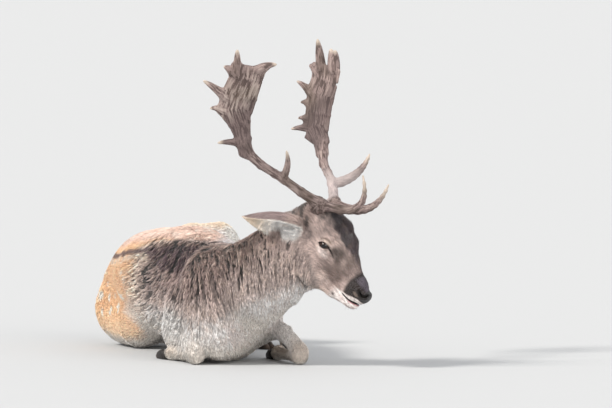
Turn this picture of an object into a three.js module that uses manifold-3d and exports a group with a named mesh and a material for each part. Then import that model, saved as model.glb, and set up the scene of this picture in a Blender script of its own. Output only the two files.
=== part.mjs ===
// Fallow deer, a buck lying at rest, life size. Millimetres, Z up, floor at Z = 0.
// Every fleshy part is drawn from stations: a centre, a half depth along the
// animal's own up direction, and a half width across it.
import * as THREE from "three";
import { mergeVertices } from "three/addons/utils/BufferGeometryUtils.js";
import Module from "manifold-3d";

const wasm = await Module();
wasm.setup();

// ---------------------------------------------------------------- sizes
const GAP = 0.35;              // clearance between neighbouring pieces
const GRAIN = 0.002;           // points closer than this are one
const APART = 0.01;            // share of the way that touching folds are drawn apart
const SINK = 300;              // depth of the cutter that levels the underside
const SOLE_CUT = 1;            // depth that a hoof is pared flat
const CELL = { body: 46, head: 19.5, region: 64 };
const BLEND = { chain: 8, limb: 24, flesh: 34, face: 16 };
const SIDES = { limb: 9, beam: 9, palm: 10, tine: 6, claw: 8, ear: 8 };

const HEAD_LENGTH = 295;       // poll to nose tip
const HEAD_YAW = 22.8;         // degrees the face turns out of the X axis
const HEAD_PITCH = 51;         // degrees the face line drops below level
const HEAD_ROLL = 2.2;         // degrees the left side sits lower than the right
const POLL = [143, 0, 418];    // top of the skull behind the antlers
const CHEST_REST = [-80, 260, 0]; // where the chest rests on the floor
const EYE_RADIUS = 16;
const EYE_AT = [123, -1, 44];   // along the face, above its line, out to the side
const BURR_AT = [34, 40, 38];
const EAR_BASE = [40, -46, 46];
const EAR_TIP = [-61, -115, 112];
const EAR_HALF_WIDTH = 43;
const EAR_THICKNESS = 5;
const TAIL_LENGTH = 190;

// ---------------------------------------------------------------- vectors
const rad = THREE.MathUtils.degToRad;
const add = (a, b) => a.map((v, i) => v + b[i]);
const sub = (a, b) => a.map((v, i) => v - b[i]);
const times = (a, k) => a.map((v) => v * k);
const dot = (a, b) => a[0] * b[0] + a[1] * b[1] + a[2] * b[2];
const unit = (a) => times(a, 1 / Math.sqrt(dot(a, a)));
const mix = (a, b, t) => a + (b - a) * t;
const mixed = (a, b, t) => a.map((v, i) => mix(v, b[i], t));
const across = (v, axis) => unit(sub(v, times(axis, dot(v, axis))));

function cross(a, b) {
  return [
    a[1] * b[2] - a[2] * b[1],
    a[2] * b[0] - a[0] * b[2],
    a[0] * b[1] - a[1] * b[0],
  ];
}

// The head's own frame: along the face, its left side, and up out of the brow.
const level = [Math.cos(rad(HEAD_YAW)), -Math.sin(rad(HEAD_YAW)), 0];
const flatLeft = cross([0, 0, 1], level);
const LEFT = add(times(flatLeft, Math.cos(rad(HEAD_ROLL))), [0, 0, -Math.sin(rad(HEAD_ROLL))]);
const FACE = add(
  times(level, Math.cos(rad(HEAD_PITCH))),
  times(cross(level, LEFT), -Math.sin(rad(HEAD_PITCH))),
);
const BROW = cross(FACE, LEFT);

function onHead([along, up, out], side = 1) {
  return add(add(POLL, times(FACE, along)), add(times(BROW, up), times(LEFT, out * side)));
}

// ---------------------------------------------------------------- stations
// A body station: centre, half depth, half width, and how far the back leans
// over toward the animal's right side, in degrees.
function body(x, y, z, depth, width, lean = 0) {
  const up = [-Math.sin(rad(lean)), 0, Math.cos(rad(lean))];
  return { c: [x, y, z], up, h: depth, w: width };
}

// A head station, in the head's own frame.
function skull(along, up, out, depth, width, side = 1) {
  return { c: onHead([along, up, out], side), up: BROW, h: depth, w: width };
}

// ---------------------------------------------------------------- fields
// Distance-like value of one tapering elliptical length between two stations.
function segment(A, B) {
  const run = sub(B.c, A.c);
  const length = Math.sqrt(dot(run, run));
  const t = unit(run);
  const upA = across(A.up, t);
  const upB = across(B.up, t);
  return (x, y, z) => {
    const px = x - A.c[0];
    const py = y - A.c[1];
    const pz = z - A.c[2];
    const raw = (px * t[0] + py * t[1] + pz * t[2]) / length;
    const k = Math.min(1, Math.max(0, raw));
    const vx = px - t[0] * length * k;
    const vy = py - t[1] * length * k;
    const vz = pz - t[2] * length * k;
    const end = vx * t[0] + vy * t[1] + vz * t[2];
    const rise = vx * mix(upA[0], upB[0], k) + vy * mix(upA[1], upB[1], k) + vz * mix(upA[2], upB[2], k);
    const side = Math.max(vx * vx + vy * vy + vz * vz - end * end - rise * rise, 0);
    const h = mix(A.h, B.h, k);
    const w = mix(A.w, B.w, k);
    const m = Math.min(h, w);
    return (Math.sqrt((rise * rise) / (h * h) + side / (w * w) + (end * end) / (m * m)) - 1) * m;
  };
}

function blend(a, b, k) {
  const d = Math.max(k - Math.abs(a - b), 0) / k;
  return Math.min(a, b) - d * d * k * 0.25;
}

function joined(fields, k) {
  return (x, y, z) => {
    let value = fields[0](x, y, z);
    for (let i = 1; i < fields.length; i += 1) {
      value = blend(value, fields[i](x, y, z), k);
    }
    return value;
  };
}

function chain(...stations) {
  const lengths = [];
  for (let i = 1; i < stations.length; i += 1) {
    lengths.push(segment(stations[i - 1], stations[i]));
  }
  return joined(lengths, BLEND.chain);
}

function ball(centre, radius) {
  return (x, y, z) => Math.hypot(x - centre[0], y - centre[1], z - centre[2]) - radius;
}

// ---------------------------------------------------------------- flesh
// Barrel of the body, from the point of the shoulder back to the rump.
const trunkField = joined([
  chain(
    body(-74, 165, 142, 122, 104, 20),
    body(-70, 285, 156, 158, 124, 20),
    body(-104, 420, 166, 172, 141, 34),
    body(-145, 560, 172, 176, 154, 42),
    body(-220, 705, 178, 154, 146, 48),
    body(-262, 850, 187, 124, 128, 52),
    body(-266, 965, 176, 86, 90, 56),
  ),
  chain(body(-92, 250, 215, 78, 62, 24), body(-128, 340, 228, 72, 60, 30)),
  chain(body(-150, 250, 118, 96, 52, 26), body(-165, 330, 120, 92, 46, 32)),
  chain(body(-84, 130, 94, 84, 74, 10), body(-78, 240, 82, 82, 86, 14)),
], BLEND.flesh);

// The second chain fills out the throat.
const neckField = joined([
  chain(
    body(118, 12, 330, 86, 70, 20),
    body(66, 40, 272, 98, 84, 32),
    body(0, 88, 216, 116, 100, 34),
    body(-58, 170, 176, 142, 118, 28),
  ),
  chain(body(128, 0, 238, 40, 38), body(96, 22, 200, 42, 40), body(50, 58, 160, 42, 44)),
], BLEND.limb);

// Both sides of a paired feature of the head.
function pair(make) {
  return [make(1), make(-1)];
}

const headField = joined([
  chain(skull(38, -6, 0, 50, 52), skull(104, 6, 0, 54, 52)),
  chain(skull(62, 24, 0, 46, 43), skull(108, 26, 0, 48, 42), skull(146, 21, 0, 44, 36), skull(174, 8, 0, 38, 30)),
  chain(
    skull(108, -22, 0, 60, 52),
    skull(160, -20, 0, 58, 40),
    skull(205, -17, 0, 50, 31),
    skull(255, -16, 0, 34, 27),
    skull(279, -13, 0, 23, 24),
  ),
  chain(
    skull(92, -58, 0, 52, 46),
    skull(160, -72, 0, 42, 34),
    skull(215, -62, 0, 28, 24),
    skull(272, -48, 0, 17, 18),
    skull(280, -46, 0, 15, 15),
  ),
  ...pair((side) => chain(skull(112, 16, 30, 20, 20, side), skull(134, 8, 34, 19, 17, side))),
  ...pair((side) => chain(skull(128, -22, 32, 20, 18, side), skull(182, -30, 20, 17, 14, side))),
  ...pair((side) => chain(skull(24, 8, 24, 24, 24, side), skull(38, 25, 33, 18, 19, side))),
], BLEND.face);

// The four legs: muscled upper lengths, then the cannon below the knee or hock
// (centre, half height, half width), and the tip of the foot.
const legs = {
  fore_left: {
    upper: [
      [body(12, 196, 160, 62, 40, 10), body(40, 272, 100, 46, 36, 0)],
      [body(40, 272, 96, 40, 31, 0), body(90, 184, 78, 24, 20, 0), body(130, 112, 38, 22, 21, 0)],
    ],
    lower: [[130, 106, 24, 26, 22], [112, 160, 21, 17, 16], [86, 236, 19, 16, 15],
      [74, 272, 19, 21, 19], [66, 302, 16, 15, 15]],
    foot: [58, 330, 14],
  },
  fore_right: {
    upper: [
      [body(-158, 206, 128, 74, 56, 40), body(-184, 300, 72, 58, 50, 30)],
      [body(-180, 300, 62, 44, 36, 0), body(-162, 200, 48, 30, 26, 0), body(-142, 114, 35, 23, 22, 0)],
    ],
    lower: [[-142, 108, 24, 26, 22], [-158, 160, 21, 17, 16], [-190, 236, 19, 16, 15],
      [-206, 272, 19, 21, 19], [-218, 302, 16, 15, 15]],
    foot: [-231, 330, 14],
  },
  hind_left: {
    upper: [
      [body(-214, 905, 222, 84, 70, 40), body(-142, 826, 248, 90, 60, 30), body(-80, 762, 282, 62, 46, 20)],
      [body(-88, 780, 268, 62, 44, 20), body(-20, 826, 186, 46, 36, 20), body(56, 888, 76, 27, 25, 0)],
    ],
    lower: [[58, 892, 58, 30, 24], [68, 850, 46, 20, 17], [84, 756, 32, 17, 15],
      [94, 694, 21, 23, 20], [100, 664, 17, 16, 16]],
    foot: [106, 634, 14],
  },
  hind_right: {
    upper: [
      [body(-306, 920, 140, 98, 92, 50), body(-330, 850, 94, 106, 98, 40), body(-300, 720, 66, 70, 70, 10)],
      [body(-294, 716, 66, 62, 58, 0), body(-236, 806, 54, 54, 56, 0), body(-126, 896, 40, 30, 34, 0)],
    ],
    lower: [[-122, 900, 28, 30, 26], [-98, 862, 22, 20, 18], [-38, 778, 19, 17, 16],
      [-2, 728, 20, 22, 20], [18, 702, 16, 16, 16]],
    foot: [40, 676, 14],
  },
};

for (const leg of Object.values(legs)) {
  leg.field = joined(leg.upper.map((part) => chain(...part)), BLEND.limb);
}

function everythingBut(name) {
  const others = Object.entries(legs).filter(([key]) => key !== name).map(([, leg]) => leg.field);
  const core = [trunkField, neckField, ...others];
  const flesh = joined(core, BLEND.flesh);
  return (x, y, z) => blend(flesh(x, y, z), headField(x, y, z), BLEND.face * 2);
}

const wholeField = everythingBut("");

// ---------------------------------------------------------------- skins from fields
const CORNERS = [
  [0, 0, 0], [1, 0, 0], [0, 1, 0], [1, 1, 0],
  [0, 0, 1], [1, 0, 1], [0, 1, 1], [1, 1, 1],
];
const EDGES = [
  [0, 1], [2, 3], [4, 5], [6, 7], [0, 2], [1, 3],
  [4, 6], [5, 7], [0, 4], [1, 5], [2, 6], [3, 7],
];

// Slide a point along the field's slope onto its zero surface.
function settle(field, p, reach) {
  const step = 0.5;
  const q = [...p];
  for (let pass = 0; pass < 3; pass += 1) {
    const value = field(q[0], q[1], q[2]);
    const slope = [
      field(q[0] + step, q[1], q[2]) - field(q[0] - step, q[1], q[2]),
      field(q[0], q[1] + step, q[2]) - field(q[0], q[1] - step, q[2]),
      field(q[0], q[1], q[2] + step) - field(q[0], q[1], q[2] - step),
    ].map((v) => v / (2 * step));
    const size = Math.max(dot(slope, slope), 0.05);
    for (let i = 0; i < 3; i += 1) {
      const moved = q[i] - (slope[i] * value) / size;
      q[i] = Math.min(p[i] + reach, Math.max(p[i] - reach, moved));
    }
  }
  return q;
}

// Closed skin of a field inside a box: one point per crossed cell, and a quad
// round each crossed grid edge.
function skinOf(field, low, high, cell) {
  const boxed = (x, y, z) => Math.max(
    field(x, y, z),
    low[0] + cell - x, x - high[0] + cell,
    low[1] + cell - y, y - high[1] + cell,
    low[2] + cell - z, z - high[2] + cell,
  );
  const n = low.map((v, i) => Math.ceil((high[i] - v) / cell) + 1);
  const at = (i, j, k) => (k * n[1] + j) * n[0] + i;
  const place = (i, j, k) => [low[0] + i * cell, low[1] + j * cell, low[2] + k * cell];
  const values = new Float64Array(n[0] * n[1] * n[2]);
  for (let k = 0; k < n[2]; k += 1) {
    for (let j = 0; j < n[1]; j += 1) {
      for (let i = 0; i < n[0]; i += 1) {
        values[at(i, j, k)] = boxed(...place(i, j, k));
      }
    }
  }
  const points = [];
  const cellPoint = new Map();
  for (let k = 0; k < n[2] - 1; k += 1) {
    for (let j = 0; j < n[1] - 1; j += 1) {
      for (let i = 0; i < n[0] - 1; i += 1) {
        const v = CORNERS.map(([a, b, c]) => values[at(i + a, j + b, k + c)]);
        const hits = EDGES.filter(([a, b]) => v[a] < 0 !== v[b] < 0);
        if (hits.length > 0) {
          const sum = [0, 0, 0];
          for (const [a, b] of hits) {
            const t = v[a] / (v[a] - v[b]);
            for (let m = 0; m < 3; m += 1) {
              sum[m] += mix(CORNERS[a][m], CORNERS[b][m], t);
            }
          }
          const start = add(place(i, j, k), times(sum, cell / hits.length));
          cellPoint.set(at(i, j, k), points.length);
          points.push(settle(boxed, start, cell * 0.45));
        }
      }
    }
  }
  return { points, faces: quadsRound(values, n, at, cellPoint) };
}

function quadsRound(values, n, at, cellPoint) {
  const faces = [];
  const steps = [[1, 0, 0], [0, 1, 0], [0, 0, 1]];
  for (let k = 1; k < n[2] - 1; k += 1) {
    for (let j = 1; j < n[1] - 1; j += 1) {
      for (let i = 1; i < n[0] - 1; i += 1) {
        steps.forEach((step, axis) => {
          const here = values[at(i, j, k)] < 0;
          const there = values[at(i + step[0], j + step[1], k + step[2])] < 0;
          if (here !== there) {
            const u = steps[(axis + 1) % 3];
            const v = steps[(axis + 2) % 3];
            const around = [[0, 0], [1, 0], [1, 1], [0, 1]].map(([a, b]) => cellPoint.get(
              at(i - a * u[0] - b * v[0], j - a * u[1] - b * v[1], k - a * u[2] - b * v[2]),
            ));
            faces.push(here ? around : [...around].reverse());
          }
        });
      }
    }
  }
  return faces;
}

// Quads to triangles, each cut along its shorter diagonal.
function triangles({ points, faces }) {
  const tris = [];
  for (const f of faces) {
    if (f.length === 3) {
      tris.push(f);
    } else {
      const a = sub(points[f[0]], points[f[2]]);
      const b = sub(points[f[1]], points[f[3]]);
      if (dot(a, a) < dot(b, b)) {
        tris.push([f[0], f[1], f[2]], [f[0], f[2], f[3]]);
      } else {
        tris.push([f[0], f[1], f[3]], [f[1], f[2], f[3]]);
      }
    }
  }
  return { points, tris };
}

// Same triangles with every point moved out along its own normal.
function grown({ points, tris }, distance) {
  const normals = points.map(() => [0, 0, 0]);
  for (const [a, b, c] of tris) {
    const n = cross(sub(points[b], points[a]), sub(points[c], points[a]));
    for (const v of [a, b, c]) {
      normals[v] = add(normals[v], n);
    }
  }
  return { points: points.map((p, i) => add(p, times(unit(normals[i]), distance))), tris };
}

function solid({ points, tris }) {
  return new wasm.Manifold(new wasm.Mesh({
    numProp: 3,
    vertProperties: Float32Array.from(points.flat()),
    triVerts: Uint32Array.from(tris.flat()),
  }));
}

function fromGeometry(geometry) {
  const bare = geometry.clone();
  bare.deleteAttribute("normal");
  bare.deleteAttribute("uv");
  const merged = mergeVertices(bare, 1e-3);
  return new wasm.Manifold(new wasm.Mesh({
    numProp: 3,
    vertProperties: Float32Array.from(merged.attributes.position.array),
    triVerts: Uint32Array.from(merged.index.array),
  }));
}

// ---------------------------------------------------------------- lofted limbs and tines
// Elliptical rings through stations, closed at both ends. A station's up points
// along its half depth.
function loft(stations, sides) {
  const points = [];
  const faces = [];
  const last = stations.length - 1;
  stations.forEach((s, row) => {
    const before = stations[Math.max(row - 1, 0)].c;
    const after = stations[Math.min(row + 1, last)].c;
    const axis = unit(sub(after, before));
    const up = across(s.up, axis);
    const out = cross(axis, up);
    for (let i = 0; i < sides; i += 1) {
      const a = (2 * Math.PI * i) / sides;
      points.push(add(s.c, add(times(up, s.h * Math.cos(a)), times(out, s.w * Math.sin(a)))));
    }
  });
  for (let row = 0; row < last; row += 1) {
    for (let i = 0; i < sides; i += 1) {
      const j = (i + 1) % sides;
      const low = row * sides;
      faces.push([low + i, low + j, low + sides + j, low + sides + i]);
    }
  }
  points.push(stations[0].c, stations[last].c);
  for (let i = 0; i < sides; i += 1) {
    const j = (i + 1) % sides;
    faces.push([points.length - 2, j, i]);
    faces.push([points.length - 1, last * sides + i, last * sides + j]);
  }
  return triangles({ points, faces });
}

// ---------------------------------------------------------------- cutters
function boxAt(centre, size, normal) {
  const box = new THREE.BoxGeometry(...size);
  const turn = new THREE.Quaternion().setFromUnitVectors(
    new THREE.Vector3(0, 0, 1),
    new THREE.Vector3(...normal),
  );
  box.applyQuaternion(turn);
  box.translate(...centre);
  return fromGeometry(box);
}

// Block on the far side of a plane, starting a given distance past it.
function beyond(point, normal, start, size) {
  const n = unit(normal);
  return boxAt(add(point, times(n, start + size / 2)), [size, size, size], n);
}

const underFloor = boxAt([0, 500, -SINK / 2], [3000, 3000, SINK], [0, 0, 1]);

function largest(piece) {
  const bodies = piece.decompose();
  bodies.sort((a, b) => b.volume() - a.volume());
  return bodies[0];
}

// ---------------------------------------------------------------- colours
const COLOURS = {
  coat: [0x8b7461, 0.9],
  haunch: [0xb08458, 0.9],
  head: [0x9a8270, 0.9],
  leg: [0xa8967f, 0.9],
  horn: [0x7d7166, 0.65],
  eye: [0x140f0d, 0.15],
  hoof: [0x2c2826, 0.5],
};

const deer = new THREE.Group();
deer.name = "fallow_deer";

// Points of a cut piece, with slivers closed up: near neighbours become one
// point, and two folds that only touch at a point are drawn slightly apart.
function welded(mesh) {
  const count = mesh.vertProperties.length / mesh.numProp;
  const at = (i) => Array.from(mesh.vertProperties.slice(i * mesh.numProp, i * mesh.numProp + 3));
  const beside = Array.from({ length: count }, () => new Set());
  for (let i = 0; i < mesh.triVerts.length; i += 3) {
    const tri = mesh.triVerts.slice(i, i + 3);
    tri.forEach((v) => tri.forEach((w) => beside[v].add(w)));
  }
  const points = [];
  const renamed = [];
  const groups = new Map();
  for (let i = 0; i < count; i += 1) {
    const key = at(i).map((v) => Math.round(v / GRAIN)).join();
    const group = groups.get(key) ?? [];
    const twin = group.find((other) => beside[i].has(other));
    if (twin === undefined) {
      const around = [...beside[i]].map(at).reduce(add);
      const inward = sub(times(around, 1 / beside[i].size), at(i));
      renamed[i] = points.length;
      points.push(group.length > 0 ? add(at(i), times(inward, APART)) : at(i));
    } else {
      renamed[i] = renamed[twin];
    }
    groups.set(key, [...group, i]);
  }
  const tris = [];
  for (let i = 0; i < mesh.triVerts.length; i += 3) {
    const [a, b, c] = [0, 1, 2].map((k) => renamed[mesh.triVerts[i + k]]);
    if (a !== b && b !== c && c !== a) {
      tris.push([a, b, c]);
    }
  }
  return { points, tris };
}

function place(name, piece, colour) {
  const { points, tris } = welded(piece.getMesh());
  const geometry = new THREE.BufferGeometry();
  geometry.setAttribute("position", new THREE.BufferAttribute(Float32Array.from(points.flat()), 3));
  geometry.setIndex(new THREE.BufferAttribute(Uint32Array.from(tris.flat()), 1));
  const [hex, roughness] = COLOURS[colour];
  const material = new THREE.MeshStandardMaterial({ color: hex, roughness, metalness: 0 });
  const node = new THREE.Mesh(geometry, material);
  node.name = name;
  deer.add(node);
}

// ---------------------------------------------------------------- legs
const FLOOR_MARGIN = -80;
const REACH = {
  fore_left: { low: [-80, 50], high: [190, 370, 280], cell: 25 },
  fore_right: { low: [-300, 40], high: [-40, 410, 280], cell: 27 },
  hind_left: { low: [-330, 650], high: [140, 1030, 400], cell: 33 },
  hind_right: { low: [-470, 610], high: [-60, 1070, 300], cell: 33 },
};

// The space that belongs to one leg: nearer to its flesh than to all the rest.
const regions = {};
for (const [name, leg] of Object.entries(legs)) {
  const rest = everythingBut(name);
  const share = (x, y, z) => leg.field(x, y, z) - rest(x, y, z);
  const { low, high } = REACH[name];
  const far = [...low, FLOOR_MARGIN];
  const outer = [far.map((v) => v - CELL.region * 1.5), high.map((v) => v + CELL.region * 1.5)];
  regions[name] = triangles(skinOf(share, ...outer, CELL.region));
}

// One cloven foot: two claws side by side, joined at the heel.
function clovenFoot(leg, extra) {
  const from = leg.lower.at(-1).slice(0, 3);
  const run = unit(sub(leg.foot, from));
  const wide = unit(cross([0, 0, 1], run));
  const claws = [-1, 1].map((side) => {
    const shift = times(wide, side * 9.5);
    const stations = [[-6, 9, 8.5], [14, 13, 9.5], [34, 11, 8.5], [52, 5, 4]].map(([t, h, w]) => {
      const c = add(add(from, times(run, t)), shift);
      return { c: [c[0], c[1], h], up: [0, 0, 1], h: h + SOLE_CUT + extra, w: w + extra };
    });
    return solid(loft(stations, SIDES.claw));
  });
  return claws[0].add(claws[1]);
}

const joinAll = (pieces) => pieces.reduce((a, b) => a.add(b));

for (const [name, leg] of Object.entries(legs)) {
  const { low, high, cell } = REACH[name];
  const upper = solid(triangles(skinOf(wholeField, [...low, FLOOR_MARGIN], high, cell)));
  leg.thigh = largest(upper.intersect(solid(regions[name])));
  const cannon = loft(leg.lower.map(([x, y, z, h, w]) => ({ c: [x, y, z], up: [0, 0, 1], h, w })), SIDES.limb);
  leg.cannon = solid(cannon).subtract(underFloor);
  leg.cannonRoom = solid(grown(cannon, GAP));
  leg.footRoom = clovenFoot(leg, GAP);
}

// Cannons and feet keep their own space, and the upper legs give way to them.
const lowerRoom = joinAll(Object.values(legs).flatMap((leg) => [leg.cannonRoom, leg.footRoom]));
for (const leg of Object.values(legs)) {
  leg.claws = largest(clovenFoot(leg, 0).subtract(leg.cannonRoom).subtract(underFloor));
  leg.upper = largest(leg.thigh.subtract(lowerRoom).subtract(underFloor));
}

// ---------------------------------------------------------------- head, neck, trunk
const NECK_CUT = { at: [116, 10, 300], normal: add(times(level, 0.98), [0, 0, 0.2]) };
const TRUNK_CUT = { at: [-35, 130, 190], normal: [0.6, -0.63, 0.485] };

const legSpace = joinAll([
  ...Object.values(regions).map((region) => solid(grown(region, GAP * 1.3))),
  ...Object.values(legs).map((leg) => leg.upper),
  lowerRoom,
]);

const bodySkin = triangles(skinOf(wholeField, [-520, -120, -60], [290, 1110, 490], CELL.body));
const bodyRoom = solid(grown(bodySkin, GAP));
const torso = solid(bodySkin).subtract(legSpace).subtract(underFloor);
const headSkin = triangles(skinOf(wholeField, [20, -160, 110], [390, 130, 500], CELL.head));

const frontOfTrunk = beyond(TRUNK_CUT.at, TRUNK_CUT.normal, 0, 900);
const frontOfTrunkKept = beyond(TRUNK_CUT.at, TRUNK_CUT.normal, GAP, 900);
const headSide = beyond(NECK_CUT.at, NECK_CUT.normal, 0, 600);
const headSideKept = beyond(NECK_CUT.at, NECK_CUT.normal, GAP, 600);

const trunk = largest(torso.subtract(frontOfTrunk));
const neck = largest(torso.intersect(frontOfTrunkKept).subtract(headSide));

const eyes = pair((side) => {
  const ballShape = new THREE.SphereGeometry(EYE_RADIUS, 10, 7);
  ballShape.rotateX(Math.PI / 2);
  ballShape.translate(...onHead(EYE_AT, side));
  return fromGeometry(ballShape);
});
const sockets = pair((side) => {
  const hollow = new THREE.SphereGeometry(EYE_RADIUS + GAP, 10, 7);
  hollow.rotateX(Math.PI / 2);
  hollow.translate(...onHead(EYE_AT, side));
  return fromGeometry(hollow);
});

const headWhole = solid(headSkin).intersect(headSideKept);
const head = largest(headWhole.subtract(sockets[0]).subtract(sockets[1]));
const headRoom = solid(grown(headSkin, GAP));

place("trunk", trunk, "coat");
place("neck", neck, "coat");
place("head", head, "head");
place("eye_left", eyes[0], "eye");
place("eye_right", eyes[1], "eye");

for (const [name, leg] of Object.entries(legs)) {
  place(`leg_${name}`, leg.upper, "leg");
  place(`cannon_${name}`, leg.cannon, "leg");
  place(`hoof_${name}`, leg.claws, "hoof");
}

// ---------------------------------------------------------------- tail
const tailRoot = [-282, 1018, 172];
const tailLine = [[0, 26, 22], [0.25, 24, 21], [0.6, 20, 18], [0.9, 12, 11], [1, 4, 4]];
const tailStations = tailLine.map(([t, h, w]) => ({
  c: [tailRoot[0] - 26 * t, tailRoot[1] + 78 * Math.sqrt(t) * 0.8, tailRoot[2] - (TAIL_LENGTH - 45) * t * t],
  up: [0, 1, 0.3],
  h,
  w,
}));
place("tail", largest(solid(loft(tailStations, SIDES.limb)).subtract(bodyRoom)), "haunch");

// ---------------------------------------------------------------- ears
// A leaf hollowed from its open side, widest at its base towards the crown, on a short stem.
const EAR_LEAF = [
  [-0.02, 0.92, 0.46], [0.14, 1.03, 0.48], [0.34, 1.05, 0.5], [0.55, 0.86, 0.46],
  [0.76, 0.56, 0.36], [0.91, 0.28, 0.18], [1, 0.07, 0.06],
];
const EAR_RISE = 13;           // how far the wide base reaches up towards the crown

function leaf(side, inset) {
  const root = onHead(EAR_BASE, side);
  const run = sub(onHead(EAR_TIP, side), root);
  const axis = unit(run);
  const open = across(add(times(LEFT, side * 0.75), [0, 0, -0.78]), axis);
  const rise = times(cross(open, axis), side * EAR_RISE);
  return loft(EAR_LEAF.map(([t, wide, deep]) => ({
    c: add(add(add(root, times(run, t + inset * 0.004)), times(open, inset * 2.2)), times(rise, (1 - t) ** 2)),
    up: open,
    h: Math.max(EAR_HALF_WIDTH * deep + inset * 0.5, 0.8),
    w: Math.max(EAR_HALF_WIDTH * wide - inset * 0.55, 0.8),
  })), SIDES.ear);
}

function earSolid(side) {
  const root = onHead(EAR_BASE, side);
  const axis = unit(sub(onHead(EAR_TIP, side), root));
  const stem = loft([
    { c: add(root, times(axis, -30)), up: BROW, h: 24, w: 22 },
    { c: root, up: BROW, h: 23, w: 21 },
    { c: add(root, times(axis, 20)), up: BROW, h: 12, w: 12 },
  ], SIDES.ear);
  const cup = solid(leaf(side, 0)).subtract(solid(leaf(side, EAR_THICKNESS)));
  return cup.add(solid(stem)).subtract(headRoom);
}

place("ear_left", largest(earSolid(1).subtract(bodyRoom)), "head");
place("ear_right", largest(earSolid(-1).subtract(bodyRoom)), "head");

// ---------------------------------------------------------------- antlers
// Palm frame: back along its width (flared outward), up its length, and through it.
const PALM_FLARE = 25;
const PALM_BASE = [-178, 56, 257];
const PALM_CUP = 0.0006;
const PALM_LEAN = 0.19;

function palmFrame(side) {
  const outward = times(LEFT, side);
  const back = add(times(level, -Math.cos(rad(PALM_FLARE))), times(outward, Math.sin(rad(PALM_FLARE))));
  const up = unit(add([0, 0, 1], times(outward, PALM_LEAN)));
  return { origin: onHead(PALM_BASE, side), back, up, through: unit(cross(up, back)) };
}

function onPalm(frame, back, up) {
  const flat = add(add(frame.origin, times(frame.back, back)), times(frame.up, up));
  return add(flat, times(frame.through, PALM_CUP * up * up));
}

// A tapering tine that passes through a middle point on its way to the tip.
function tine([from, middle, to], thick, rings = 5) {
  const pull = sub(times(middle, 2), mixed(from, to, 0.5));
  const stations = [];
  for (let i = 0; i <= rings; i += 1) {
    const t = Math.min(1, (i / rings) ** 0.8);
    const r = Math.max(thick * (1 - 0.82 * t ** 1.7), 1.6);
    stations.push({ c: mixed(mixed(from, pull, t), mixed(pull, to, t), t), up: [0.3, 0.2, 1], h: r, w: r });
  }
  return solid(loft(stations, SIDES.tine));
}

const ANTLERS = {
  right: {
    side: -1,
    palm: [[-34, -3, 17, 12], [2, -2, 19, 10], [45, 5, 29, 8.5], [84, 13, 46, 7.5], [122, -1, 46, 7],
      [170, -22, 43, 6], [198, -30, 46, 4.5]],
    points: [[[8, -8], [64, -8], 8], [[48, 78], [76, 84], 6], [[38, 116], [89, 158], 10],
      [[8, 176], [33, 198], 7], [[0, 190], [-3, 244], 9], [[-52, 192], [-100, 206], 10]],
    trez: [[-57, 52, 160], [-70, 92, 186], [-92, 121, 215], 9],
    brow: [[44, 62, 42], [105, 140, 60], [51, 199, 62], 12],
  },
  left: {
    side: 1,
    palm: [[-36, -13, 19, 12], [0, -6, 27, 10], [34, 18, 50, 8.5], [70, 10, 48, 8], [117, 2, 52, 7],
      [160, -21, 50, 6], [192, -30, 54, 4.5]],
    points: [[[48, 28], [114, 27], 8], [[50, 53], [87, 56], 6], [[46, 93], [77, 98], 6],
      [[36, 122], [90, 153], 9], [[8, 176], [33, 194], 6], [[-8, 190], [-7, 261], 12],
      [[-52, 186], [-54, 236], 12], [[-62, 186], [-70, 232], 12]],
    trez: [[-36, 50, 146], [-26, 106, 184], [-54, 152, 230], 13],
    brow: [[44, 62, 42], [98, 122, 56], [83, 200, 62], 12.5],
  },
};

const BEAM = [
  [22, 22, 32, 17], [31, 40, 42, 22], [31, 50, 50, 23], [20, 53, 64, 15], [-11, 52, 108, 12.5],
  [-50, 51, 154, 11], [-75, 47, 177, 11], [-109, 41, 209, 11.5], [-142, 44, 245, 13.5], [-168, 52, 256, 15],
];

for (const [name, antler] of Object.entries(ANTLERS)) {
  const { side } = antler;
  const frame = palmFrame(side);
  const beamStations = BEAM.map(([along, up, out, r]) => ({
    c: onHead([along, up, out], side),
    up: frame.back,
    h: r,
    w: r * 0.92,
  }));
  const palmStations = antler.palm.map(([up, back, half, thick]) => ({
    c: onPalm(frame, back, up),
    up: frame.back,
    h: half,
    w: thick,
  }));
  const beamLoft = loft([...beamStations, palmStations[1]], SIDES.beam);
  const palmSolid = antler.points.reduce((sum, [from, to, thick]) => {
    const ends = [onPalm(frame, ...from), onPalm(frame, ...to)];
    return sum.add(tine([ends[0], mixed(...ends, 0.5), ends[1]], thick, 2));
  }, solid(loft(palmStations, SIDES.palm)));
  const cut = onPalm(frame, 0, -26);
  const beam = solid(beamLoft).subtract(beyond(cut, frame.up, -GAP, 500)).subtract(headRoom);
  const palm = palmSolid.intersect(beyond(cut, frame.up, 0, 500));
  const beamRoom = solid(grown(beamLoft, GAP));
  const branch = ([from, middle, to, thick]) => tine(
    [from, middle, to].map((p) => onHead(p, side)),
    thick,
  ).subtract(beamRoom).subtract(headRoom);
  place(`antler_${name}_beam`, largest(beam), "horn");
  place(`antler_${name}_palm`, largest(palm), "horn");
  place(`antler_${name}_brow_tine`, largest(branch(antler.brow)), "horn");
  place(`antler_${name}_trez_tine`, largest(branch(antler.trez)), "horn");
}

// The origin is the point where the middle of the chest rests on the floor.
deer.children.forEach((node) => node.geometry.translate(...times(CHEST_REST, -1)));

export default deer;
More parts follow.
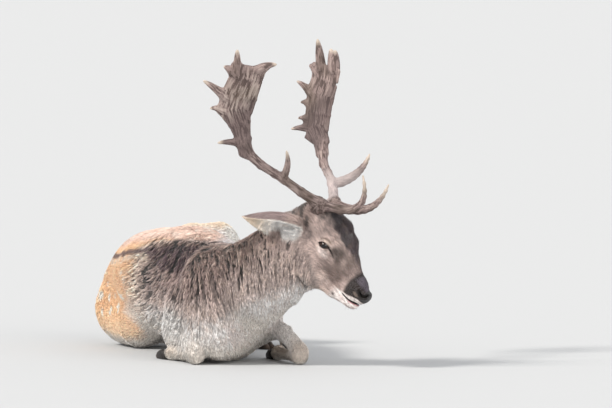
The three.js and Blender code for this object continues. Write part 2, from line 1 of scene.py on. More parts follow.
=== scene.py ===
import math
import bmesh
import bpy
import numpy as np
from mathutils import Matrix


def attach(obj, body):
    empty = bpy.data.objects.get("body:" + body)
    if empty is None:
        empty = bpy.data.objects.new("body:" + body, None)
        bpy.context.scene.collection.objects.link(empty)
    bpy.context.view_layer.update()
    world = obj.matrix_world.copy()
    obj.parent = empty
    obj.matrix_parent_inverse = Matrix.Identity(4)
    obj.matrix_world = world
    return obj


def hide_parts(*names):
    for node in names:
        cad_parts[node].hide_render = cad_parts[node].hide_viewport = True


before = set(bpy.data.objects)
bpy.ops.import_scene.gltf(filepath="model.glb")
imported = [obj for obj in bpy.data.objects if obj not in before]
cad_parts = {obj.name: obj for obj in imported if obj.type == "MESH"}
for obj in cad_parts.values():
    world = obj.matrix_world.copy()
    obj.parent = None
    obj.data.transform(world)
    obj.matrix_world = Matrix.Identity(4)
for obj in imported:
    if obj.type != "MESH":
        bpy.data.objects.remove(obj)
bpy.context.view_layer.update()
import openvdb
from mathutils import Vector

bpy.ops.object.select_all(action="DESELECT")

# ------------------------------------------------------------------ camera
# A long lens, a little above the animal's back, so that the nearer chest and
# the farther haunch keep nearly one scale.
VIEW_TARGET = Vector((0.2254, -0.26, 0.4266))
VIEW_RISE = math.radians(3)
VIEW_DISTANCE = 20
FRAME_WIDTH = 1.5896


def linked(name, data):
    """A new object in the scene that shows this data."""
    thing = bpy.data.objects.new(name, data)
    bpy.context.collection.objects.link(thing)
    return thing


camera_data = bpy.data.cameras.new("camera")
camera_data.lens = camera_data.sensor_width * VIEW_DISTANCE / FRAME_WIDTH
camera_data.clip_end = 5 * VIEW_DISTANCE
camera = linked("camera", camera_data)
camera.location = VIEW_TARGET + VIEW_DISTANCE * Vector((0, -math.cos(VIEW_RISE), math.sin(VIEW_RISE)))
camera.rotation_euler = (math.pi / 2 - VIEW_RISE, 0, 0)
bpy.context.scene.camera = camera

# ------------------------------------------------------------------ hide
# The hide is one unbroken skin over the whole body. It is drawn over stations
# (a centre, a half depth and a half width) like a stuffed mannikin, and lies
# under the tips of the hair by the depth of the coat.
MM = 0.001
CHEST_REST = np.array((-80, 260, 0))
HEAD_YAW = math.radians(22.8)
HEAD_PITCH = math.radians(51)
HEAD_ROLL = math.radians(2.2)
BLEND = {"chain": 0.008, "limb": 0.024, "flesh": 0.034, "face": 0.016, "head": 0.032, "shin": 0.012}
COAT_DEPTH = {"trunk": 0.005, "neck": 0.006, "leg": 0.004, "head": 0.003, "shin": 0.002, "tail": 0.010}


def spot(x, y, z):
    """A place given in millimetres from the working corner, in metres from the chest's rest."""
    return (np.array((x, y, z)) - CHEST_REST) * MM


def unit(v):
    return v / np.linalg.norm(v)


def across(v, axis):
    return unit(v - axis * (v @ axis))


LEVEL = np.array((math.cos(HEAD_YAW), -math.sin(HEAD_YAW), 0))
LEFT = np.cross((0, 0, 1), LEVEL) * math.cos(HEAD_ROLL) - np.array((0, 0, math.sin(HEAD_ROLL)))
FACE = LEVEL * math.cos(HEAD_PITCH) - np.cross(LEVEL, LEFT) * math.sin(HEAD_PITCH)
BROW = np.cross(FACE, LEFT)
POLL = spot(143, 0, 418)


def on_head(along, up, out, side=1):
    """A place on the head: millimetres down the face, up out of it, and out to one side."""
    return POLL + (FACE * along + BROW * up + LEFT * out * side) * MM


def head_place(p):
    v = (p - POLL) / MM
    return np.stack((v @ FACE, v @ BROW, v @ LEFT), -1).astype(np.float32)


def head_side(p):
    """Places on the head with both sides folded onto the left one."""
    h = head_place(p)
    h[:, 2] = np.abs(h[:, 2])
    return h


def body(x, y, z, depth, width, lean=0):
    up = np.array((-math.sin(math.radians(lean)), 0, math.cos(math.radians(lean))))
    return spot(x, y, z), up, depth * MM, width * MM


def skull(along, up, out, depth, width, side=1):
    return on_head(along, up, out, side), BROW, depth * MM, width * MM


class Length:
    """One tapering elliptical length between two stations."""

    def __init__(self, a, b):
        run = b[0] - a[0]
        self.long = float(np.linalg.norm(run))
        self.way = (run / self.long).astype(np.float32)
        self.start = a[0].astype(np.float32)
        self.up = [across(s[1], run / self.long).astype(np.float32) for s in (a, b)]
        self.depth = (a[2], b[2])
        self.width = (a[3], b[3])

    def place(self, p):
        """Share along, and the offsets up, to the left and past the end, with the half sizes there."""
        v = p - self.start
        k = np.clip(v @ self.way / self.long, 0, 1)
        v = v - (k * self.long)[:, None] * self.way
        end = v @ self.way
        up = self.up[0] + k[:, None] * (self.up[1] - self.up[0])
        rise = (v * up).sum(1)
        side = (v * np.cross(self.way, up)).sum(1)
        depth = self.depth[0] + k * (self.depth[1] - self.depth[0])
        width = self.width[0] + k * (self.width[1] - self.width[0])
        return k, rise, side, end, depth, width

    def __call__(self, p):
        _, rise, side, end, depth, width = self.place(p)
        least = np.minimum(depth, width)
        return (np.sqrt((rise / depth) ** 2 + (side / width) ** 2 + (end / least) ** 2) - 1) * least


def blend(a, b, k):
    d = np.maximum(k - np.abs(a - b), 0) / k
    return np.minimum(a, b) - d * d * k * 0.25


def carve(a, b, k):
    """What is left of a after b is taken out, with an edge rounded by k."""
    return -blend(-a, b, k)


def joined(fields, k):
    def value(p):
        total = fields[0](p)
        for field in fields[1:]:
            total = blend(total, field(p), k)
        return total
    return value


def lengths(*stations):
    return [Length(a, b) for a, b in zip(stations, stations[1:])]


def chain(*stations, k=BLEND["chain"]):
    return joined(lengths(*stations), k)


# Stations of the barrel, withers, near shoulder and brisket.
BARREL = [
    body(-74, 165, 142, 122, 104, 20),
    body(-70, 285, 156, 158, 124, 20),
    body(-104, 420, 166, 172, 141, 34),
    body(-145, 560, 172, 176, 154, 42),
    body(-220, 705, 178, 154, 146, 48),
    body(-262, 850, 187, 124, 128, 52),
    body(-266, 965, 176, 86, 90, 56),
]
NECK = [
    body(118, 12, 330, 86, 70, 20),
    body(66, 40, 272, 98, 84, 32),
    body(0, 88, 216, 116, 100, 34),
    body(-58, 170, 176, 142, 118, 28),
]
THROAT = [body(128, 0, 238, 40, 38), body(96, 22, 200, 42, 40), body(50, 58, 160, 42, 44)]
TAIL_ROOT = (-282, 1018, 172)
TAIL = []
for t, depth, width in ((0, 26, 22), (0.25, 24, 21), (0.6, 20, 18), (0.9, 12, 11), (1, 4, 4)):
    tail_x, tail_y, tail_z = TAIL_ROOT
    TAIL.append(body(tail_x - 26 * t, tail_y + 62 * math.sqrt(t), tail_z - 145 * t * t, depth, width))
    TAIL[-1] = (TAIL[-1][0], np.array((0, 0.958, 0.287)), *TAIL[-1][2:])

trunk_field = joined([
    chain(*BARREL),
    chain(body(-92, 250, 215, 78, 62, 24), body(-128, 340, 228, 72, 60, 30)),
    chain(body(-150, 250, 118, 96, 52, 26), body(-165, 330, 120, 92, 46, 32)),
    chain(body(-84, 130, 94, 84, 74, 10), body(-78, 240, 82, 82, 86, 14)),
], BLEND["flesh"])
neck_field = joined([chain(*NECK), chain(*THROAT)], BLEND["limb"])
tail_field = chain(*TAIL)

# Upper legs as chains of stations, then the cannon below the knee or hock down to the fetlock.
LEGS = {
    "fore_left": {
        "upper": [
            [body(12, 196, 160, 62, 40, 10), body(40, 272, 100, 46, 36)],
            [body(40, 272, 96, 40, 31), body(90, 184, 78, 24, 20), body(130, 112, 38, 22, 21)],
        ],
        "shin": [body(130, 106, 24, 26, 22), body(112, 160, 21, 17, 16), body(86, 236, 19, 16, 15),
                 body(74, 272, 19, 21, 19), body(66, 302, 16, 15, 15)],
        "toe": spot(58, 330, 14),
    },
    "fore_right": {
        "upper": [
            [body(-158, 206, 128, 74, 56, 40), body(-184, 300, 72, 58, 50, 30)],
            [body(-180, 300, 62, 44, 36), body(-162, 200, 48, 30, 26), body(-142, 114, 35, 23, 22)],
        ],
        "shin": [body(-142, 108, 24, 26, 22), body(-158, 160, 21, 17, 16), body(-190, 236, 19, 16, 15),
                 body(-206, 272, 19, 21, 19), body(-218, 302, 16, 15, 15)],
        "toe": spot(-231, 330, 14),
    },
    "hind_left": {
        "upper": [
            [body(-214, 905, 222, 84, 70, 40), body(-142, 826, 248, 90, 60, 30),
             body(-80, 762, 282, 62, 46, 20)],
            [body(-88, 780, 268, 62, 44, 20), body(-20, 826, 186, 46, 36, 20),
             body(56, 888, 76, 27, 25)],
        ],
        "shin": [body(58, 892, 58, 30, 24), body(68, 850, 46, 20, 17), body(84, 756, 32, 17, 15),
                 body(94, 694, 21, 23, 20), body(100, 664, 17, 16, 16)],
        "toe": spot(106, 634, 14),
    },
    "hind_right": {
        "upper": [
            [body(-306, 920, 140, 98, 92, 50), body(-330, 850, 94, 106, 98, 40),
             body(-300, 720, 66, 70, 70, 10)],
            [body(-294, 716, 66, 62, 58), body(-236, 806, 54, 54, 56), body(-126, 896, 40, 30, 34)],
        ],
        "shin": [body(-122, 900, 28, 30, 26), body(-98, 862, 22, 20, 18), body(-38, 778, 19, 17, 16),
                 body(-2, 728, 20, 22, 20), body(18, 702, 16, 16, 16)],
        "toe": spot(40, 676, 14),
    },
}
leg_fields = [joined([chain(*part) for part in leg["upper"]], BLEND["limb"]) for leg in LEGS.values()]
shin_fields = [chain(*leg["shin"]) for leg in LEGS.values()]


def pair(make):
    return [make(1), make(-1)]


skull_field = joined([
    chain(skull(38, -6, 0, 50, 52), skull(104, 6, 0, 54, 52)),
    chain(skull(62, 24, 0, 46, 43), skull(108, 26, 0, 48, 42), skull(146, 21, 0, 44, 36),
          skull(174, 8, 0, 38, 30)),
    chain(skull(108, -22, 0, 60, 52), skull(160, -20, 0, 58, 40), skull(205, -17, 0, 50, 31),
          skull(255, -16, 0, 34, 27), skull(279, -13, 0, 23, 24)),
    chain(skull(92, -58, 0, 52, 46), skull(160, -72, 0, 42, 34), skull(215, -62, 0, 28, 24),
          skull(272, -48, 0, 17, 18), skull(280, -46, 0, 15, 15)),
    *pair(lambda side: chain(skull(112, 16, 30, 20, 20, side), skull(134, 8, 34, 19, 17, side))),
    *pair(lambda side: chain(skull(128, -22, 32, 20, 18, side), skull(182, -30, 20, 17, 14, side))),
    *pair(lambda side: chain(skull(24, 8, 24, 24, 24, side), skull(38, 25, 33, 18, 19, side))),
], BLEND["face"])

# Eye opening: an almond on the ball, its front corner set higher up the face.
EYE_AT = np.array((123, -1, 44), np.float32)
EYE_RADIUS = 15.6
LID_THICKNESS = 2.2
EYE_SLANT = math.radians(24)
EYE_HALF_LENGTH = 16.2
LID_HEIGHT = {"upper": 7.6, "lower": 6.6}


def almond(h):
    """Millimetres outside the eye's opening, seen from the side of the head."""
    da = h[:, 0] - EYE_AT[0]
    du = h[:, 1] - EYE_AT[1]
    along = da * math.cos(EYE_SLANT) + du * math.sin(EYE_SLANT)
    rise = du * math.cos(EYE_SLANT) - da * math.sin(EYE_SLANT)
    lid = np.where(rise > 0, LID_HEIGHT["upper"], LID_HEIGHT["lower"])
    bow = 1 - (along / EYE_HALF_LENGTH) ** 2
    return np.maximum(np.abs(rise) - lid * bow, np.abs(along) - EYE_HALF_LENGTH) * 0.8


def thread(h, points, radii):
    """Distance in millimetres, seen from the side, to a line through points with one radius each."""
    h = h[:, :2]
    best = np.full(len(h), 1e6, np.float32)
    points = np.array(points, np.float32)
    for a, b, ra, rb in zip(points, points[1:], radii, radii[1:]):
        run = b - a
        k = np.clip((h - a) @ run / (run @ run), 0, 1)
        away = np.linalg.norm(h - a - k[:, None] * run, axis=1)
        best = np.minimum(best, away - ra - k * (rb - ra))
    return best


# Lines of the face as seen from its side: millimetres down the face and up out of it.
LID_CREASE = [(104, 4), (112, 13), (123, 17), (135, 16)]
LID_CREASE_RADII = (0.8, 1.2, 1.2, 0.8)
TEAR_LINE = [(138, 4), (145, 2), (153, -1), (161, -4)]
TEAR_RADII = (1.4, 1.6, 1.4, 0.6)
NOSTRIL = [(290, 1), (290, -6), (284, -10), (276, -9), (269, -5)]
NOSTRIL_RADII = (1.6, 3.6, 4.2, 3.4, 1.4)
NOSTRIL_DEPTH = 0.007
NOSTRIL_RIM = 0.0022
MOUTH = [(244, -48), (254, -47), (267, -45), (278, -41), (290, -36), (300, -33)]
MOUTH_RADII = (0.6, 1.1, 1.4, 1.8, 2.0, 2.0)
MOUTH_DEPTH = 0.006
JAW_EDGE = [(132, -114), (146, -115), (160, -115), (173, -114), (186, -113)]
JAW_SHADOW_WIDTH = 4.6
JAW_TUCK = 0.006
JAW_FOLD = [(205, -48), (220, -50), (238, -49)]


def sunk(value, away, depth, k):
    """A furrow or a pit: what lies within a line drawn from the side goes in to one depth."""
    return carve(value, np.maximum(away * MM, -value - depth), k)


def jaw_shadow(h):
    """Share from 0 to 1 near the edge of the jaw, where the throat tucks in behind it."""
    away = np.maximum(thread(h, JAW_EDGE, (0, 0, 0, 0, 0)), 0)
    return np.exp(-(away / JAW_SHADOW_WIDTH) ** 2) * (np.abs(h[:, 2]) > 12)


def head_field(p):
    h = head_side(p)
    value = skull_field(p) + COAT_DEPTH["head"] * np.interp(h[:, 0], (200, 250), (1, 0.35))
    ball = (np.linalg.norm(h - EYE_AT, axis=1) - EYE_RADIUS - LID_THICKNESS) * MM
    value = blend(value, ball, 0.006)
    value = sunk(value, thread(h, LID_CREASE, LID_CREASE_RADII), 0.0022, 0.002)
    value = sunk(value, thread(h, TEAR_LINE, TEAR_RADII), 0.0025, 0.0015)
    opening = np.maximum(almond(h), EYE_AT[2] - h[:, 2]) * MM
    value = carve(value, opening, 0.0012)
    wing = thread(h, NOSTRIL, NOSTRIL_RADII)
    value = value - NOSTRIL_RIM * np.exp(-((wing - 3.5) / 2.6) ** 2) * (h[:, 2] > 3)
    value = sunk(value, np.maximum(wing, 4 - h[:, 2]), NOSTRIL_DEPTH, 0.0015)
    value = sunk(value, thread(h, MOUTH, MOUTH_RADII), MOUTH_DEPTH, 0.0025)
    return sunk(value, thread(h, JAW_FOLD, (0.6, 1.0, 0.8)), 0.003, 0.004)


# Ears: a leaf of skin folded into a cup, open to the side and down, on a round stem.
EAR_BASE = (40, -46, 46)
EAR_TIP = (-61, -116, 112)
EAR_FACING = (0.75, -0.78)
EAR_HALF_WIDTH = 0.043
EAR_WALL = 0.0045
EAR_ROLL = 30
EAR_RISE = 0.013
EAR_SHARES = np.linspace(-0.02, 1, 15)


def ear_width(t):
    """Share of the full half width: widest past the middle, drawn to a point at the tip."""
    t = max(t, 0)
    wide = 0.62 + 0.34 * math.sin(min(t * 4.5, math.pi / 2))
    return max(wide * (1 - t ** 3) ** 1.15 + 0.3 * (1 - t) ** 2, 0.07)


def ear_depth(t):
    t = max(t, 0)
    return max((0.44 + 0.2 * t) * (1 - t ** 3), 0.07)


class Ear:
    def __init__(self, side):
        self.root = on_head(*EAR_BASE, side)
        self.run = on_head(*EAR_TIP, side) - self.root
        self.axis = unit(self.run)
        outward, upward = EAR_FACING
        self.open = across(LEFT * side * outward + np.array((0, 0, upward)), self.axis)
        self.rim = np.cross(self.axis, self.open) * side
        self.below = self.root + self.run * 0.34 + self.rim * EAR_HALF_WIDTH * 1.1
        self.outer = self.leaf(0)
        self.inner = self.leaf(EAR_WALL)
        self.stem = chain(
            (self.root - self.axis * 0.030, BROW, 0.022, 0.020),
            (self.root, BROW, 0.021, 0.019),
            (self.root + self.axis * 0.020, BROW, 0.011, 0.011),
        )

    def leaf(self, inset):
        stations = []
        for t in EAR_SHARES:
            wide = ear_width(t)
            deep = ear_depth(t)
            centre = self.root + self.run * (t + inset * 4) + self.open * inset * 2.4
            rolled = EAR_HALF_WIDTH * wide * inset * EAR_ROLL - EAR_RISE * (1 - t) ** 2
            centre = centre + self.rim * rolled
            half_depth = max(EAR_HALF_WIDTH * deep - 0.001 + inset * 0.5, 0.002)
            half_width = EAR_HALF_WIDTH * wide * (1 - inset * EAR_ROLL) - 0.001 - inset * 0.7
            half_width = max(half_width, 0.0015)
            stations.append((centre, self.open, half_depth, half_width))
        return chain(*stations, k=0.004)

    def __call__(self, p):
        return blend(carve(self.outer(p), self.inner(p), 0.002), self.stem(p), 0.012)


ears = dict(zip(("ear_left", "ear_right"), pair(Ear)))


def near(p, centre, reach):
    return np.linalg.norm(p - centre, axis=1) < reach


HEAD_MIDDLE = on_head(110, -30, 0)
HEAD_REACH = 0.30
# The neck is hollowed under each ear, and the haunch is drawn in low down and swells above.
EAR_HOLLOW = 0.016
EAR_HOLLOW_REACH = 0.034
HAUNCH_FROM = 0.28
HAUNCH_INSET = 0.007
HAUNCH_INSET_TOP = 0.19
HAUNCH_SWELL = 0.005
HAUNCH_SWELL_AT = 0.205
HAUNCH_SWELL_REACH = 0.045
GROUND_GAP = 0.001


def hide_field(p):
    """Negative inside the hide, positive outside."""
    p = p.astype(np.float32)
    hollow = 0
    for ear in ears.values():
        hollow += np.exp(-(np.linalg.norm(p - ear.below, axis=1) / EAR_HOLLOW_REACH) ** 4)
    behind = np.clip((p[:, 1] - HAUNCH_FROM) / 0.14, 0, 1)
    haunch = behind * HAUNCH_INSET * np.clip((HAUNCH_INSET_TOP - p[:, 2]) / 0.06, 0, 1)
    haunch -= behind * HAUNCH_SWELL * np.exp(-((p[:, 2] - HAUNCH_SWELL_AT) / HAUNCH_SWELL_REACH) ** 2)
    parts = [
        trunk_field(p) + COAT_DEPTH["trunk"] + haunch,
        neck_field(p) + COAT_DEPTH["neck"] + EAR_HOLLOW * hollow,
    ]
    parts += [leg(p) + COAT_DEPTH["leg"] for leg in leg_fields]
    parts[-1] = parts[-1] + haunch
    value = parts[0]
    for part in parts[1:]:
        value = blend(value, part, BLEND["flesh"])
    value = blend(value, tail_field(p) + COAT_DEPTH["tail"], BLEND["shin"])
    for shin in shin_fields:
        value = blend(value, shin(p) + COAT_DEPTH["shin"], BLEND["shin"])
    close = near(p, HEAD_MIDDLE, HEAD_REACH)
    if close.any():
        q = p[close]
        with_head = blend(value[close], head_field(q), BLEND["head"])
        with_head += JAW_TUCK * jaw_shadow(head_place(q))
        for ear in ears.values():
            with_head = blend(with_head, ear(q), 0.008)
        value[close] = with_head
    return np.maximum(value, GROUND_GAP - p[:, 2])


# Cells along a search block, and how many of its widths the surface may lie from its middle.
SEARCH_BLOCK = 4
SEARCH_MARGIN = 1.35


def surface(field, low, high, cell):
    """Points and quads of a field's zero surface, worked out only in blocks that it may cross."""
    block = SEARCH_BLOCK
    low = np.array(low)
    count = np.ceil((np.array(high) - low) / (cell * block)).astype(int)
    grid = np.stack(np.meshgrid(*[np.arange(n) for n in count], indexing="ij"), -1)
    centres = low + (grid.reshape(-1, 3) * block + (block - 1) / 2) * cell
    rough = field(centres)
    values = np.repeat(np.repeat(np.repeat(rough.reshape(count), block, 0), block, 1), block, 2)
    crossed = grid.reshape(-1, 3)[np.abs(rough) < cell * block * SEARCH_MARGIN]
    steps = np.stack(np.meshgrid(*[np.arange(block)] * 3, indexing="ij"), -1).reshape(-1, 3)
    cells = (crossed[:, None, :] * block + steps).reshape(-1, 3)
    values[tuple(cells.T)] = field(low + cells * cell)
    volume = openvdb.FloatGrid(float(cell * block))
    volume.copyFromArray(np.ascontiguousarray(values, np.float32))
    points, quads = volume.convertToQuads(isovalue=0)
    return low + points.astype(float) * cell, quads.astype(int)


def slopes(field, p, step):
    return np.stack([field(p + e) - field(p - e) for e in np.eye(3) * step], -1) / (2 * step)


def settle(field, p, passes, reach, step=0.0008):
    """Slide points along the field's slope onto its surface, by no more than reach a pass."""
    for _ in range(passes):
        slope = slopes(field, p, step)
        pull = field(p) / np.maximum((slope ** 2).sum(1), 0.2)
        p = p - slope * np.clip(pull, -reach, reach)[:, None]
    return p


def mesh_of(name, points, faces):
    mesh = bpy.data.meshes.new(name)
    mesh.vertices.add(len(points))
    move_points(mesh, points)
    mesh.loops.add(faces.size)
    mesh.loops.foreach_set("vertex_index", np.asarray(faces, np.int32).ravel())
    mesh.polygons.add(len(faces))
    mesh.polygons.foreach_set("loop_start", np.arange(len(faces), dtype=np.int32) * faces.shape[1])
    mesh.update(calc_edges=True)
    smooth(mesh)
    return mesh


def smooth(mesh):
    mesh.polygons.foreach_set("use_smooth", np.ones(len(mesh.polygons), bool))


def points_of(mesh):
    p = np.empty(len(mesh.vertices) * 3, np.float32)
    mesh.vertices.foreach_get("co", p)
    return p.reshape(-1, 3)


def move_points(mesh, p):
    mesh.vertices.foreach_set("co", np.asarray(p, np.float32).ravel())


BODY_CELL = 0.0095
HEAD_CELL = 0.0033
JOIN_AT = Vector((0.062, -0.150, 0.222))
JOIN_NORMAL = Vector((0.55, -0.45, 0.70)).normalized()

hide_mesh = bpy.data.meshes.new("hide")
work = bmesh.new()
for low, high, cell, keep in (
    ((-0.37, -0.33, -0.02), (0.26, 0.86, 0.37), BODY_CELL, "back"),
    ((-0.06, -0.46, 0.05), (0.46, 0.06, 0.52), HEAD_CELL, "front"),
):
    skin_part = mesh_of("part", *surface(hide_field, low, high, cell))
    half = bmesh.new()
    half.from_mesh(skin_part)
    bmesh.ops.bisect_plane(
        half,
        geom=half.verts[:] + half.edges[:] + half.faces[:],
        plane_co=JOIN_AT + JOIN_NORMAL * (0.0015 if keep == "front" else -0.0015),
        plane_no=JOIN_NORMAL,
        clear_inner=keep == "front",
        clear_outer=keep == "back",
    )
    half.to_mesh(skin_part)
    work.from_mesh(skin_part)
    half.free()
    bpy.data.meshes.remove(skin_part)
rim = [edge for edge in work.edges if edge.is_boundary]
bmesh.ops.bridge_loops(work, edges=rim)

# The face is made finer round the eyes, nostrils and mouth.
FINE_PLACES = [(EYE_AT, 25), (np.array((152, 0, 44)), 14), (np.array((284, -6, 14)), 20),
               (np.array((268, -40, 18)), 22), (np.array((290, -36, 6)), 18)]
work.verts.ensure_lookup_table()
middles = np.array([face.calc_center_median() for face in work.faces])
head_middles = head_side(middles)
fine = np.zeros(len(middles), bool)
for centre, reach in FINE_PLACES:
    fine |= np.linalg.norm(head_middles - centre, axis=1) < reach
fine_edges = {edge for face, chosen in zip(work.faces, fine) if chosen for edge in face.edges}
bmesh.ops.subdivide_edges(work, edges=list(fine_edges), cuts=1, use_grid_fill=True)
bmesh.ops.triangulate(work, faces=work.faces[:])
bmesh.ops.recalc_face_normals(work, faces=work.faces[:])
work.to_mesh(hide_mesh)
work.free()

hide_points = settle(hide_field, points_of(hide_mesh).astype(float), 3, 0.0015)
hide_points[:, 2] = np.maximum(hide_points[:, 2], GROUND_GAP)
move_points(hide_mesh, hide_points)
hide_mesh.update()
smooth(hide_mesh)
hide = linked("hide", hide_mesh)

# The coat's unwrap and the hide's markings are worked out from the same lengths of the body.
AXES = {
    "trunk": lengths(*BARREL),
    "neck": lengths(*NECK),
    "head": lengths(skull(0, -20, 0, 60, 52), skull(290, -24, 0, 30, 26)),
    "tail": lengths(*TAIL),
}
for name, leg in LEGS.items():
    AXES[name] = [part for stations in leg["upper"] for part in lengths(*stations)]
    AXES["shin_" + name] = lengths(*leg["shin"])
for name, ear in ears.items():
    AXES[name] = lengths((ear.root, ear.open, 0.03, 0.03), (ear.root + ear.run, ear.open, 0.03, 0.03))
LIE_DROOP = {"trunk": 0.5, "neck": 12.0, "tail": 0.3, "fore_right": 10.0, "fore_left": 3.0}
# The long hair of the side fans out from the withers: forward on the shoulder, back on the flank.
FAN_AT = (-0.24, -0.20, -0.14, -0.08, 0.0, 0.06, 0.16)
FAN_LEAN = (-2.0, -1.1, -0.5, 0.0, 0.4, 0.18, 0.1)
LIE_SPREAD = 0.014
LIE_STEEPEST = 2.5
LIE_WANDER = 0.1


def nearest(p, name):
    """Metres along one axis, the angle round it from its back, and how far outside it p lies."""
    p = p.astype(np.float32)
    best = np.full(len(p), 1e6, np.float32)
    along = np.zeros(len(p), np.float32)
    angle = np.zeros(len(p), np.float32)
    passed = 0
    for part in AXES[name]:
        k, rise, side, end, depth, width = part.place(p)
        least = np.minimum(depth, width)
        value = (np.sqrt((rise / depth) ** 2 + (side / width) ** 2 + (end / least) ** 2) - 1) * least
        closer = value < best
        best = np.where(closer, value, best)
        along = np.where(closer, passed + k * part.long, along)
        angle = np.where(closer, np.arctan2(side / width, rise / depth), angle)
        passed += part.long
    return along, angle, best


def shares(p):
    """Names of the body's lengths, and how much of each every point belongs to."""
    names = list(AXES)
    outside = np.stack([nearest(p, name)[2] for name in names])
    outside[names.index("head")] += np.where(head_place(p)[:, 0] < -25, 0.05, 0).astype(np.float32)
    weight = np.exp(-(outside - outside.min(0)) / LIE_SPREAD)
    weight /= weight.sum(0)
    return names, weight


def lie_of(p, normal, names, weight):
    """Direction that the hair lies in: down the neck and flanks, and back along the body."""
    total = np.zeros((len(p), 3))
    lean = np.interp(p[:, 0], FAN_AT, FAN_LEAN)
    facing = ramp(-normal[:, 1], 0.12, 0.4)
    slope = (normal[:, 2] - lean * normal[:, 0]) / np.minimum(normal[:, 1], -0.2)
    inward = facing * np.clip(slope, -LIE_STEEPEST, LIE_STEEPEST)
    down = np.stack((lean, inward, np.full(len(p), -1)), -1)
    for name, share in zip(names, weight):
        for part in AXES[name]:
            end = part.place(p.astype(np.float32))[3]
            close = np.exp(-np.abs(end) / 0.02) * share
            way = -part.way if name == "head" else part.way
            droop = LIE_DROOP.get(name, 0) * np.ones(len(p))
            if name == "trunk":
                droop *= 1 + 24 * ramp(p[:, 1], 0.46, 0.26)
            if name == "neck":
                droop *= 0.25 + 0.75 * ramp(p[:, 0], 0.20, 0.11)
            total += close[:, None] * (way + droop[:, None] * down)
    total -= normal * (total * normal).sum(1)[:, None]
    total /= np.maximum(np.linalg.norm(total, axis=1), 1e-6)[:, None]
    flank = weight[names.index("trunk")] * ramp(p[:, 1], 0.36, 0.26)
    loose = np.maximum(weight[names.index("neck")], flank)
    turn = loose * LIE_WANDER * (2 * mottle(p / 0.07 + 3) - 1)
    side = np.cross(total, normal)
    return total * np.cos(turn)[:, None] + side * np.sin(turn)[:, None]


LATTICE_SIZE = 32
LATTICE = np.random.default_rng(7).random((LATTICE_SIZE,) * 3).astype(np.float32)


def mottle(q):
    """Smooth random value from 0 to 1 at each row of q, with features one unit across."""
    cell = np.floor(q).astype(int)
    t = q - cell
    t = t * t * (3 - 2 * t)
    total = np.zeros(len(q))
    for corner in np.ndindex(2, 2, 2):
        share = np.prod(np.where(corner, t, 1 - t), axis=1)
        total += share * LATTICE[tuple(((cell + corner) % LATTICE_SIZE).T)]
    return total


def ramp(x, a, b):
    t = np.clip((x - a) / (b - a), 0, 1)
    return t * t * (3 - 2 * t)


def plain(code, count):
    """One written colour at each of count points."""
    return np.tile(tone(code), (count, 1))


def tone(code):
    """Linear red, green and blue of a written colour."""
    c = np.array([int(code[i:i + 2], 16) for i in (1, 3, 5)]) / 255
    return np.where(c < 0.04045, c / 12.92, ((c + 0.055) / 1.055) ** 2.4)


def washed(base, *washes):
    """Each row of base moved towards written colours in turn, by its share of each."""
    for colour, share in washes:
        base = base + (tone(colour) - base) * np.asarray(share)[:, None]
    return base


# Metres between samples taken along the hair, and the width of the locks that they make.
LONG_LOCKS = (0.0075, 0.0070)
SHORT_LOCKS = (0.0028, 0.0040)
FACE_STRANDS = (0.0020, 0.0028)


def drawn_out(p, way, locks, offset, reach):
    """Smooth random value drawn out along the hair, by reach samples each way."""
    step, width = locks
    total = np.zeros(len(p))
    for count in range(-reach, reach + 1):
        total += mottle((p + way * count * step) / width + offset) / (2 * reach + 1)
    return total


def furrows(p, way):
    """Partings that run with the hair: 1 in a dark parting, -1 on the crest of a lock."""
    long_ones = drawn_out(p, way, LONG_LOCKS, 2, 5)
    short_ones = drawn_out(p, way, SHORT_LOCKS, 9, 5)
    strong = 0.15 + 0.85 * ramp(p[:, 1], 0.42, 0.2) * ramp(p[:, 1], -0.25, -0.16)
    deep = np.maximum(ramp(long_ones, 0.478, 0.448), ramp(np.abs(long_ones - 0.538), 0.018, 0.008))
    parting = np.maximum(strong * deep, ramp(short_ones, 0.468, 0.435))
    crest = np.maximum(ramp(long_ones, 0.515, 0.55), 0.6 * ramp(short_ones, 0.52, 0.56))
    return np.where(parting > 0.02, parting, -crest)


# Metres behind the chest where the grey winter coat gives out.
WINTER_EDGE = 0.335
# Metres round the barrel for each radian, and the rows of pale spots that lie on it.
BARREL_RADIUS = 0.145
SPOT_GAP = (0.040, 0.032)
SPOT_SIZE = 0.0062
SPOT_SEED = 5


def pale_edge(x):
    """Height at which the pale underside gives way to grey: low on the flank, high on the throat."""
    return np.maximum(np.interp(x, (-0.05, 0.054, 0.202), (0.09, 0.165, 0.24)), 0.118)


def spotted(along, height, gap, size, seed):
    """Round pale spots set in staggered rows, each moved a little from its place."""
    row = np.floor(height / gap[1])
    shifted = along / gap[0] + 0.5 * (row % 2)
    column = np.floor(shifted)
    key = np.stack((column, row, np.full(len(row), seed)), -1)
    move = [mottle(key * 3.7 + 0.5 + i) - 0.5 for i in (0, 11, 23)]
    da = (shifted - column - 0.5 + 0.5 * move[0]) * gap[0]
    dh = (height / gap[1] - row - 0.5 + 0.5 * move[1]) * gap[1]
    radius = size * (1 + 0.5 * move[2])
    return ramp(np.hypot(da, dh * 0.6), radius * 1.15, radius * 0.75)


